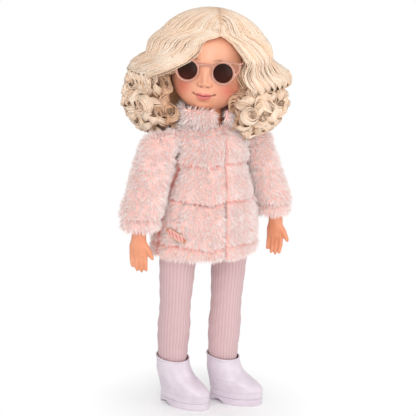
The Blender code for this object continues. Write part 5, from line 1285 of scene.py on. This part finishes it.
def hair_base(fall):
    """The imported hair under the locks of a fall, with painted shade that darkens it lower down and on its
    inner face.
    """
    near, far = FALLS[fall]
    share = np.linspace(0, 0.90, 70)[:, None]
    v = np.linspace(BASE_FROM[fall], 0.98, 70)[None, :]
    azimuth = blend(near(share[:, 0])[:, None], far(share[:, 0])[:, None], v)
    full = np.broadcast_to(share, azimuth.shape)
    ripple = 0.0016 * np.sin(np.radians(azimuth) * 26 + 5 * np.sin(full * 20)) * ease(0.0, 0.15, full)
    outer = fall_point(azimuth, full, blend(*BASE_DEPTH, ease(0.1, 0.6, full)) + ripple)
    a = np.radians(azimuth)
    reach = np.hypot(outer[..., 0], outer[..., 1])
    within = np.minimum(HEAD_WIDE * 1.06, reach - 0.004)
    inner = outer.copy()
    inner[..., 0] = within * np.sin(a)
    inner[..., 1] = -within * np.cos(a)
    base = slab(f"hair_base_{fall}", placed(outer, worn()), placed(inner, worn()))
    attribute(base, "tone", np.full(len(base.data.vertices), 0.45))
    # Painted shade: darker lower down, and darkest on the inner face.
    deep = np.concatenate([blend(0.35, 0.9, ease(0.05, 0.5, full)).ravel(), np.full(full.size, 0.9)])
    attribute(base, "depth", deep)
    dress(base, "hair", "head", "hair")


def hair_cap():
    """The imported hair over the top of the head, down to the falls."""
    columns = 120
    azimuth = np.linspace(0, 360, columns, endpoint=False)
    rings = []
    for step in np.linspace(0.03, 0.97, 26):
        reach = hair_reach(azimuth, 0 * azimuth) * step
        x = reach * np.sin(np.radians(azimuth))
        y = HEAD_CENTRE[1] - reach * np.cos(np.radians(azimuth))
        rings.append(np.stack([x, y, crown_height(x, y) - CAP_DEPTH], -1))
    for latitude in (52.0, 70.0, 86.0):
        rings.append(head_surface(azimuth, latitude + 0 * azimuth) * 1.01 + HEAD_CENTRE)
    cap = lofted("hair_cap", placed(np.array(rings), worn()))
    attribute(cap, "tone", np.full(len(cap.data.vertices), 0.35))
    # Painted shade over the whole cap, under the strands.
    attribute(cap, "depth", np.full(len(cap.data.vertices), 0.6))
    dress(cap, "hair", "head", "hair", "hair_crown")


# Fur

def fur_tree():
    """Grows curved strands of pile on a cloth skin, each along the comb direction stored on it."""
    tree = bpy.data.node_groups.new("fur_coat", "GeometryNodeTree")
    sockets = {"Skin": "Geometry"}
    sockets.update(dict.fromkeys(("Density", "Length", "Width", "Droop"), "Float"))
    sockets.update({"Seed": "Int", "Pile": "Material"})
    for name, kind in sockets.items():
        made = tree.interface.new_socket(name, in_out="INPUT", socket_type=f"NodeSocket{kind}")
        if name == "Droop":
            made.default_value = FUR_DROOP
    tree.interface.new_socket("Coat", in_out="OUTPUT", socket_type="NodeSocketGeometry")
    given = tree.nodes.new("NodeGroupInput").outputs

    def node(kind, inputs=None, **settings):
        return add_node(tree, kind, inputs, **settings)

    def stored(name, kind="FLOAT"):
        return node("GeometryNodeInputNamedAttribute", {"Name": name}, data_type=kind).outputs["Attribute"]

    def chance(low, high, seed):
        return node("FunctionNodeRandomValue", {2: low, 3: high, "Seed": seed}, data_type="FLOAT").outputs[1]

    def sum_of(operation, a, b):
        return node("ShaderNodeMath", {0: a, 1: b}, operation=operation).outputs[0]

    spread = node("GeometryNodeDistributePointsOnFaces", {
        "Mesh": given["Skin"], "Selection": sum_of("GREATER_THAN", stored("outside"), 0.5),
        "Density": given["Density"], "Seed": given["Seed"],
    }, distribute_method="RANDOM")
    cone = node("GeometryNodeMeshCone", {
        "Vertices": 3, "Side Segments": 2, "Radius Top": 0.0, "Radius Bottom": given["Width"],
        "Depth": given["Length"],
    }, fill_type="NGON")
    place = node("GeometryNodeInputPosition").outputs[0]
    rise = sum_of("DIVIDE", node("ShaderNodeSeparateXYZ", {0: place}).outputs["Z"], given["Length"])
    bend = sum_of("MULTIPLY", sum_of("MULTIPLY", rise, rise), given["Length"])
    shift = node("ShaderNodeCombineXYZ", {"X": sum_of("MULTIPLY", bend, given["Droop"])})
    bent = node("GeometryNodeSetPosition", {"Geometry": cone.outputs["Mesh"], "Offset": shift.outputs[0]})
    mark = node("GeometryNodeStoreNamedAttribute", {
        "Name": "tip", "Geometry": bent.outputs[0], "Value": rise,
    }, data_type="FLOAT", domain="POINT")
    aim = node("FunctionNodeAlignRotationToVector", {"Vector": stored("comb", "FLOAT_VECTOR")}, axis="Z")
    spin = node("ShaderNodeCombineXYZ", {"Z": chance(0.0, 2 * math.pi, 3)})
    spin = node("FunctionNodeEulerToRotation", {0: spin.outputs[0]})
    turn = node("FunctionNodeRotateRotation", {0: aim.outputs[0], 1: spin.outputs[0]}, rotation_space="LOCAL")
    grow = node("GeometryNodeInstanceOnPoints", {
        "Points": spread.outputs["Points"], "Instance": mark.outputs[0], "Rotation": turn.outputs[0],
        "Scale": sum_of("MULTIPLY", stored("loft"), chance(0.72, 1.15, 5)),
    })
    tone = node("GeometryNodeStoreNamedAttribute", {
        "Name": "tone", "Geometry": grow.outputs[0], "Value": chance(0.0, 1.0, 8),
    }, data_type="FLOAT", domain="INSTANCE")
    whole = node("GeometryNodeJoinGeometry", {0: tone.outputs[0]})
    plug(tree, whole.inputs[0], given["Skin"])
    real = node("GeometryNodeRealizeInstances", {0: whole.outputs[0]})
    paint = node("GeometryNodeSetMaterial", {"Geometry": real.outputs[0], "Material": given["Pile"]})
    node("NodeGroupOutput", {0: paint.outputs[0]})
    return tree


def puffed(obj, voxel, most):
    """Blows a quilted piece up as its filling does, no point moving further than the given distance."""
    remeshed(obj, voxel)
    before = coordinates(obj)
    cloth = obj.modifiers.new("filling", "CLOTH")
    cloth.settings.use_pressure = True
    cloth.settings.uniform_pressure_force = PUFF_PRESSURE
    cloth.settings.effector_weights.gravity = 0.0
    cloth.settings.quality = 5
    cloth.collision_settings.use_collision = False
    cloth.point_cache.frame_start = 1
    cloth.point_cache.frame_end = PUFF_FRAMES
    for step in range(1, PUFF_FRAMES + 1):
        bpy.context.scene.frame_set(step)
    settled(obj)
    moved = coordinates(obj) - before
    far = np.linalg.norm(moved, axis=1, keepdims=True)
    move_points(obj, before + moved * np.minimum(1.0, most / np.maximum(far, 1e-9)))
    bpy.context.scene.frame_set(1)
    even = obj.modifiers.new("even", "SUBSURF")
    even.levels = even.render_levels = 1
    settled(obj)
    obj.data.shade_smooth()
    return obj


def seam_kink(x):
    """How far the cross seams wander up and down, by the place across the front."""
    return 1.6 * MM * np.sin(x * 95 + 0.6) - 2.2 * MM * hump(x, -0.016, 0.009)


def seam_marks(points, sleeve):
    """1 on the stitched lines of the jacket, where the pile is pressed down and coral shows, and on a wide
    strip down each side that is partly a seam and partly painted shade between sleeve and body.
    """
    x, y, z = points[:, 0], points[:, 1], points[:, 2]
    if sleeve:
        end = hump(z, CUFF_SEAM, CUFF_SEAM_WIDTH)
        armhole = hump(np.abs(x), SHOULDER_X + 0.001, ARMHOLE_SEAM_WIDTH)
        return np.maximum(0.8 * end, 0.45 * armhole)
    tiers = (WAIST_SEAM, CHEST_SEAM, HEM_SEAM)
    rows = [hump(z, level + seam_kink(x) * (y < 0), SEAM_WIDTH) for level in tiers]
    front = (y < -0.028) & (z < 0.334)
    wavy = x + 0.4 * MM * np.sin(z * 260)
    rows += [hump(wavy, edge, PLACKET_SEAM_WIDTH) * front * 0.6 for edge in (0.0, PLACKET_WIDTH)]
    # Painted shade: a wide coral strip down each side under the arm, along its seam.
    side_seam_shade_line = blend(-0.003, -0.011, (z - HEM_SEAM) / (CHEST_SEAM - HEM_SEAM))
    rows.append(hump(y, side_seam_shade_line, SIDE_SEAM_SHADE_WIDTH) * (np.abs(x) > 0.03) * (z < 0.30))
    return np.max(rows, axis=0)


def comb_pile(obj, axis, rng, sleeve, lift):
    """Stores on each point which way the pile lies, gathered in small tufts, and how long it is.

    axis gives, for each point, the nearest place on the line that the cloth goes round.
    """
    points = coordinates(obj)
    data = obj.data
    normals = np.empty(len(points) * 3, dtype=np.float32)
    data.vertices.foreach_get("normal", normals)
    normals = normals.reshape(-1, 3).astype(np.float64)
    outside = np.sum(normals * unit(points - axis(points)), axis=1) > 0.12
    tufts = rng.choice(len(points), size=max(8, int(len(points) * TUFT_SHARE)), replace=False)
    tree = KDTree(len(tufts))
    for k, index in enumerate(tufts):
        tree.insert(points[index], k)
    tree.balance()
    toward = np.zeros_like(points)
    for k in np.flatnonzero(outside):
        toward[k] = (np.array(tree.find(points[k])[0]) - points[k]) / TUFT_PULL
    x, z = points[:, 0], points[:, 2]
    sweep = np.stack([np.sin(z * 210 + 3), np.cos(x * 160), 0 * x], -1) * 0.16
    comb = normals * 0.66 + np.array((0.0, 0.0, -0.45)) + toward * 0.42 + sweep
    comb = unit(comb - normals * np.minimum(0, np.sum(comb * normals, axis=1, keepdims=True) - 0.3))
    layer = data.attributes.new("comb", "FLOAT_VECTOR", "POINT")
    layer.data.foreach_set("vector", comb.astype(np.float32).ravel())
    seam = seam_marks(points, sleeve)
    ruffle = 0.12 * np.sin(x * 310 + 4 * np.sin(z * 150))
    for name, values in {
        "outside": outside, "loft": lift * (1 + ruffle) * (1 - 0.72 * seam), "seam": 0.9 * seam ** 1.5,
        "tip": 0 * seam, "tone": 0.3 + 0 * seam,
    }.items():
        attribute(obj, name, values)


def grown(obj, tree, seed):
    """Grows the pile and keeps it as a plain mesh."""
    coat = obj.modifiers.new("pile", "NODES")
    coat.node_group = tree
    values = {
        "Density": FUR_DENSITY * 1, "Length": FUR_LENGTH,
        "Width": FUR_WIDTH * 1, "Seed": seed, "Pile": FINISHES["fur"].material,
    }
    for item in tree.interface.items_tree:
        if item.in_out == "INPUT" and item.name in values:
            coat[item.identifier] = values[item.name]
    return settled(obj)


def trunk_axis(points):
    return points * np.array((0.35, 0.0, 1.0))


def sleeve_axis(sign):
    top, end = (np.array(place) * (sign, 1, 1) for place in (SLEEVE_TOP, SLEEVE_END))

    def axis(points):
        way = unit(end - top)
        share = np.clip((points - top) @ way, 0, np.linalg.norm(end - top))
        return top + share[:, None] * way
    return axis


FIXED_FUR = {
    "fur_yoke": "jacket_yoke", "fur_waist_tier": "jacket_waist_tier", "fur_collar": "jacket_collar",
    "fur_placket_upper": "placket_upper", "fur_skirt_back": "skirt_back", "fur_hem_back": "hem_band_back",
}


def make_jacket():
    tree = fur_tree()
    rng = np.random.default_rng(SEED + 1)
    seeds = itertools.count(11)

    def piece(name, node, axis=trunk_axis, body=None):
        return fur_piece(name, node, body, tree, rng, next(seeds), axis)

    for name, node in FIXED_FUR.items():
        piece(name, node, body="torso")
    for side, sign in SIDES.items():
        flap, arm, round_arm = f"{side}_flap", f"{side}_arm", sleeve_axis(sign)
        for part, node in (("skirt", f"skirt_front_{side}"), ("hem", f"hem_band_front_{side}")):
            piece(f"fur_{part}_front_{side}", node, body=flap)
        for part, node in (("skirt", f"skirt_side_{side}"), ("hem", f"hem_band_side_{side}")):
            panel = piece(f"fur_{part}_side_{side}", node)
            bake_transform(panel)
            declare_fur(node)
        sleeve = piece(f"fur_sleeve_{side}", f"sleeve_{side}", round_arm)
        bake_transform(sleeve)
        declare_fur(f"sleeve_{side}")
        piece(f"fur_cuff_{side}", f"cuff_{side}", round_arm, arm)
    piece("fur_placket_lower", "placket_lower", body="left_flap")


def fur_piece(name, node, body, tree, rng, seed, axis):
    """A jacket piece: its solid stretched to meet its neighbours, filled, combed and grown over."""
    piece = copy_of(name, node)
    sleeve = "sleeve" in name or "cuff" in name
    points = coordinates(piece)
    x, z = points[:, 0], points[:, 2]
    if "sleeve" in name:
        x -= np.sign(x) * SLEEVE_TUCK * ease(0.050, SHOULDER_X, np.abs(x))
    elif not sleeve:
        low, high = z.min(), z.max()
        middle = (low + high) / 2
        more = FRONT_OVERLAP if "front" in name else TIER_OVERLAP
        z[:] = middle + (z - middle) * (1 + more / (high - low))
        if name == "fur_yoke":
            low = ease(CHEST_SEAM + 38 * MM, CHEST_SEAM + 20 * MM, z)
            x += np.sign(x) * YOKE_SIDE_OUT * low * ease(0.034, 0.043, np.abs(x))
        if "placket" in name:
            x += np.sign(x - PLACKET_WIDTH / 2) * PLACKET_OVERLAP
        near = np.max([hump(z, level, 7 * MM) for level in (WAIST_SEAM, CHEST_SEAM, HEM_SEAM)], axis=0)
        z += seam_kink(x) * near * (points[:, 1] < 0)
    move_points(piece, points)
    if "placket" in name:
        remeshed(piece, PLACKET_VOXEL)
    else:
        puffed(piece, FUR_VOXEL, FUR_PUFF)
    comb_pile(piece, axis, rng, sleeve, FUR_LIFT.get(name, 1.0))
    grown(piece, tree, seed)
    piece.data.materials.clear()
    piece.data.materials.append(FINISHES["fur"].material)
    if body:
        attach(piece, body)
        declare_fur(node)
    return piece


def declare_fur(node):
    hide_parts(node)


def make_lining():
    """The edge of the jacket's lining, which hangs below the waist seam inside the skirt."""
    columns = 160
    turn = np.linspace(0, 2 * np.pi, columns, endpoint=False)
    heights = np.linspace(WAIST_SEAM + LINING_ABOVE, WAIST_SEAM - LINING_BELOW, 16)
    rings = []
    for grow, order in ((0.0, 1), (-LINING_WALL, -1)):
        for height in heights[::order]:
            loose = (WAIST_SEAM + LINING_ABOVE - height) / LINING_BELOW
            fold = LINING_FOLD * np.sin(turn * 22 + 2 * np.sin(turn * 3)) * loose
            x = (LINING_HALF_WIDTH + grow + fold) * np.sin(turn)
            y = -(LINING_HALF_DEPTH + grow + fold) * np.cos(turn)
            rings.append(np.stack([x, y, np.full(columns, height)], -1))
    lining = closed_tube("jacket_lining", rings)
    dress(lining, "lining", "torso", "fur")


def make_patch():
    """The small stitched tab near the hem, with a copper rim and slanting stripes."""
    piece = copy_of("stitched_tab", "jacket_patch")
    remeshed(piece, TAB_VOXEL)
    points = coordinates(piece)
    middle = (points.min(axis=0) + points.max(axis=0)) / 2
    normal = unit(np.array((middle[0] / 0.06 ** 2, middle[1] / 0.048 ** 2, 0.0)))
    across = np.cross((0.0, 0.0, 1.0), normal)
    level, rise = (points - middle) @ across, points[:, 2] - middle[2]
    c, s = math.cos(math.radians(TAB_TILT)), math.sin(math.radians(TAB_TILT))
    u, w = level * c - rise * s, level * s + rise * c
    points = points + across * (u * TAB_LONGER * c)[:, None]
    points[:, 2] += TAB_RAISED - u * TAB_LONGER * s
    u, w = u / np.abs(u).max(), w / np.abs(w).max()
    rim = ease(0.80, 0.90, np.maximum(np.abs(u), np.abs(w)))
    attribute(piece, "rim", rim)
    attribute(piece, "stripe", ease(0.1, 0.5, np.sin((u * 10 + w * 4) * 1.6)) * (np.abs(w) < 0.55))
    depth = (points - middle) @ normal
    lift = (TAB_WALL + TAB_RIM * rim) * (depth > np.median(depth))
    points = points + normal * (TAB_OUT + lift)[:, None]
    move_points(piece, placed(points, Matrix.Rotation(math.radians(TAB_TURN), 4, "Z")))
    dress(piece, "patch", "right_flap", "patch_cloth", "jacket_patch")


# Body and hands

def make_hands():
    for side in SIDES:
        arm = copy_of(f"vinyl_arm_{side}", f"arm_{side}")
        remeshed(arm, HAND_VOXEL, 3)
        dress(arm, "skin", f"{side}_arm", "skin_vinyl", f"arm_{side}")


def make_body():
    body = copy_of("stuffed_body", "torso_body")
    puffed(body, BODY_VOXEL, BODY_PUFF)
    dress(body, "cloth", "torso", "doll_cloth", "torso_body")


def finish_solids():
    """Finishes for the solids that are shown as they are."""
    plain = {
        "shoulder_plate": "skin", "neck_plug": "nylon", "arm_cord": "elastic", "leg_cord": "elastic",
        "closure_hook_tape": "tape", "closure_loop_tape": "tape",
    }
    for side in SIDES:
        plain[f"leg_{side}"] = "skin"
        plain[f"eye_weight_{side}"] = "metal"
        for limb in ("arm", "leg"):
            plain[f"{limb}_cord_disc_{side}"] = "nylon"
    for name, finish in plain.items():
        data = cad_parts[name].data
        data.materials.clear()
        data.materials.append(FINISHES[finish].material)


# Studio

def make_studio():
    azimuth = math.radians(VIEW_AZIMUTH)
    right = Vector((math.cos(azimuth), math.sin(azimuth), 0))
    place = Vector((math.sin(azimuth) * VIEW_DISTANCE, -math.cos(azimuth) * VIEW_DISTANCE, VIEW_HEIGHT))
    look = Vector((0, 0, VIEW_TARGET_HEIGHT)) - place
    turn = look.to_track_quat("-Z", "Y").to_matrix().to_4x4()
    lens = bpy.data.cameras.new("photo_camera")
    lens.sensor_width = SENSOR
    lens.lens = FOCAL_PIXELS / PHOTO_SIZE * SENSOR
    lens.clip_start = 0.01
    camera = linked("photo_camera", lens)
    roll = Matrix.Rotation(math.radians(VIEW_ROLL), 4, "Z")
    camera.matrix_world = Matrix.Translation(place + right * VIEW_SHIFT) @ turn @ roll
    bpy.context.scene.camera = camera
    for name, spot, size, power in LAMPS:
        lamp = bpy.data.lights.new(name, "AREA")
        lamp.size = size
        lamp.energy = power
        aim = (Vector(LAMP_AIM) - Vector(spot)).to_track_quat("-Z", "Y").to_matrix().to_4x4()
        linked(name, lamp).matrix_world = Matrix.Translation(spot) @ aim
    world = bpy.data.worlds.new("pale_room")
    world.use_nodes = True
    room = world.node_tree.nodes["Background"]
    room.inputs["Color"].default_value = (1, 1, 1, 1)
    tree = world.node_tree
    strength = add_node(tree, "ShaderNodeMapRange", {"To Min": ROOM_LIGHT, "Value": seen_ray(tree)})
    plug(tree, room.inputs["Strength"], strength.outputs[0])
    bpy.context.scene.world = world
    make_floor()
    bpy.context.scene.view_settings.view_transform = "Standard"


def seen_ray(tree):
    """1 for rays that show the room in the picture, in a mirror or through something clear."""
    path = tree.nodes.new("ShaderNodeLightPath").outputs
    whole = path["Is Camera Ray"]
    for name in ("Is Glossy Ray", "Is Transmission Ray"):
        whole = add_node(tree, "ShaderNodeMath", {0: whole, 1: path[name]}, operation="MAXIMUM").outputs[0]
    return whole


def make_floor():
    """A wide pale floor that keeps the doll's shadow and otherwise shows nearly white."""
    data = bpy.data.meshes.new("floor")
    corners = [(x * FLOOR_SIZE, y * FLOOR_SIZE, 0) for x, y in ((-1, -1), (1, -1), (1, 1), (-1, 1))]
    data.from_pydata(corners, [], [(0, 1, 2, 3)])
    floor = linked("floor", data)
    made = Finish("floor_paper", 0.9)
    cloud = made.between(made.noise(3.0), 0.3, 0.7)
    made.colour(made.mix(cloud, srgb(254, 254, 254), srgb(251, 251, 251)))
    reach = made.node("ShaderNodeVectorMath", {0: made.object_place}, operation="LENGTH").outputs["Value"]
    far = made.sum("MULTIPLY", made.between(reach, *FLOOR_FADE), seen_ray(made.tree))
    glow = made.node("ShaderNodeEmission").outputs[0]
    show = made.node("ShaderNodeMixShader", {0: far, 1: made.shader.outputs[0], 2: glow})
    plug(made.tree, made.tree.nodes["Material Output"].inputs["Surface"], show.outputs[0])
    floor.data.materials.append(made.material)


def main():
    make_finishes()
    finish_solids()
    for side in SIDES:
        make_tights(side)
        make_boot(side)
    make_seat()
    make_head()
    make_eyes()
    make_sunglasses()
    make_hair()
    make_hands()
    make_body()
    make_jacket()
    make_lining()
    make_patch()
    make_studio()


main()
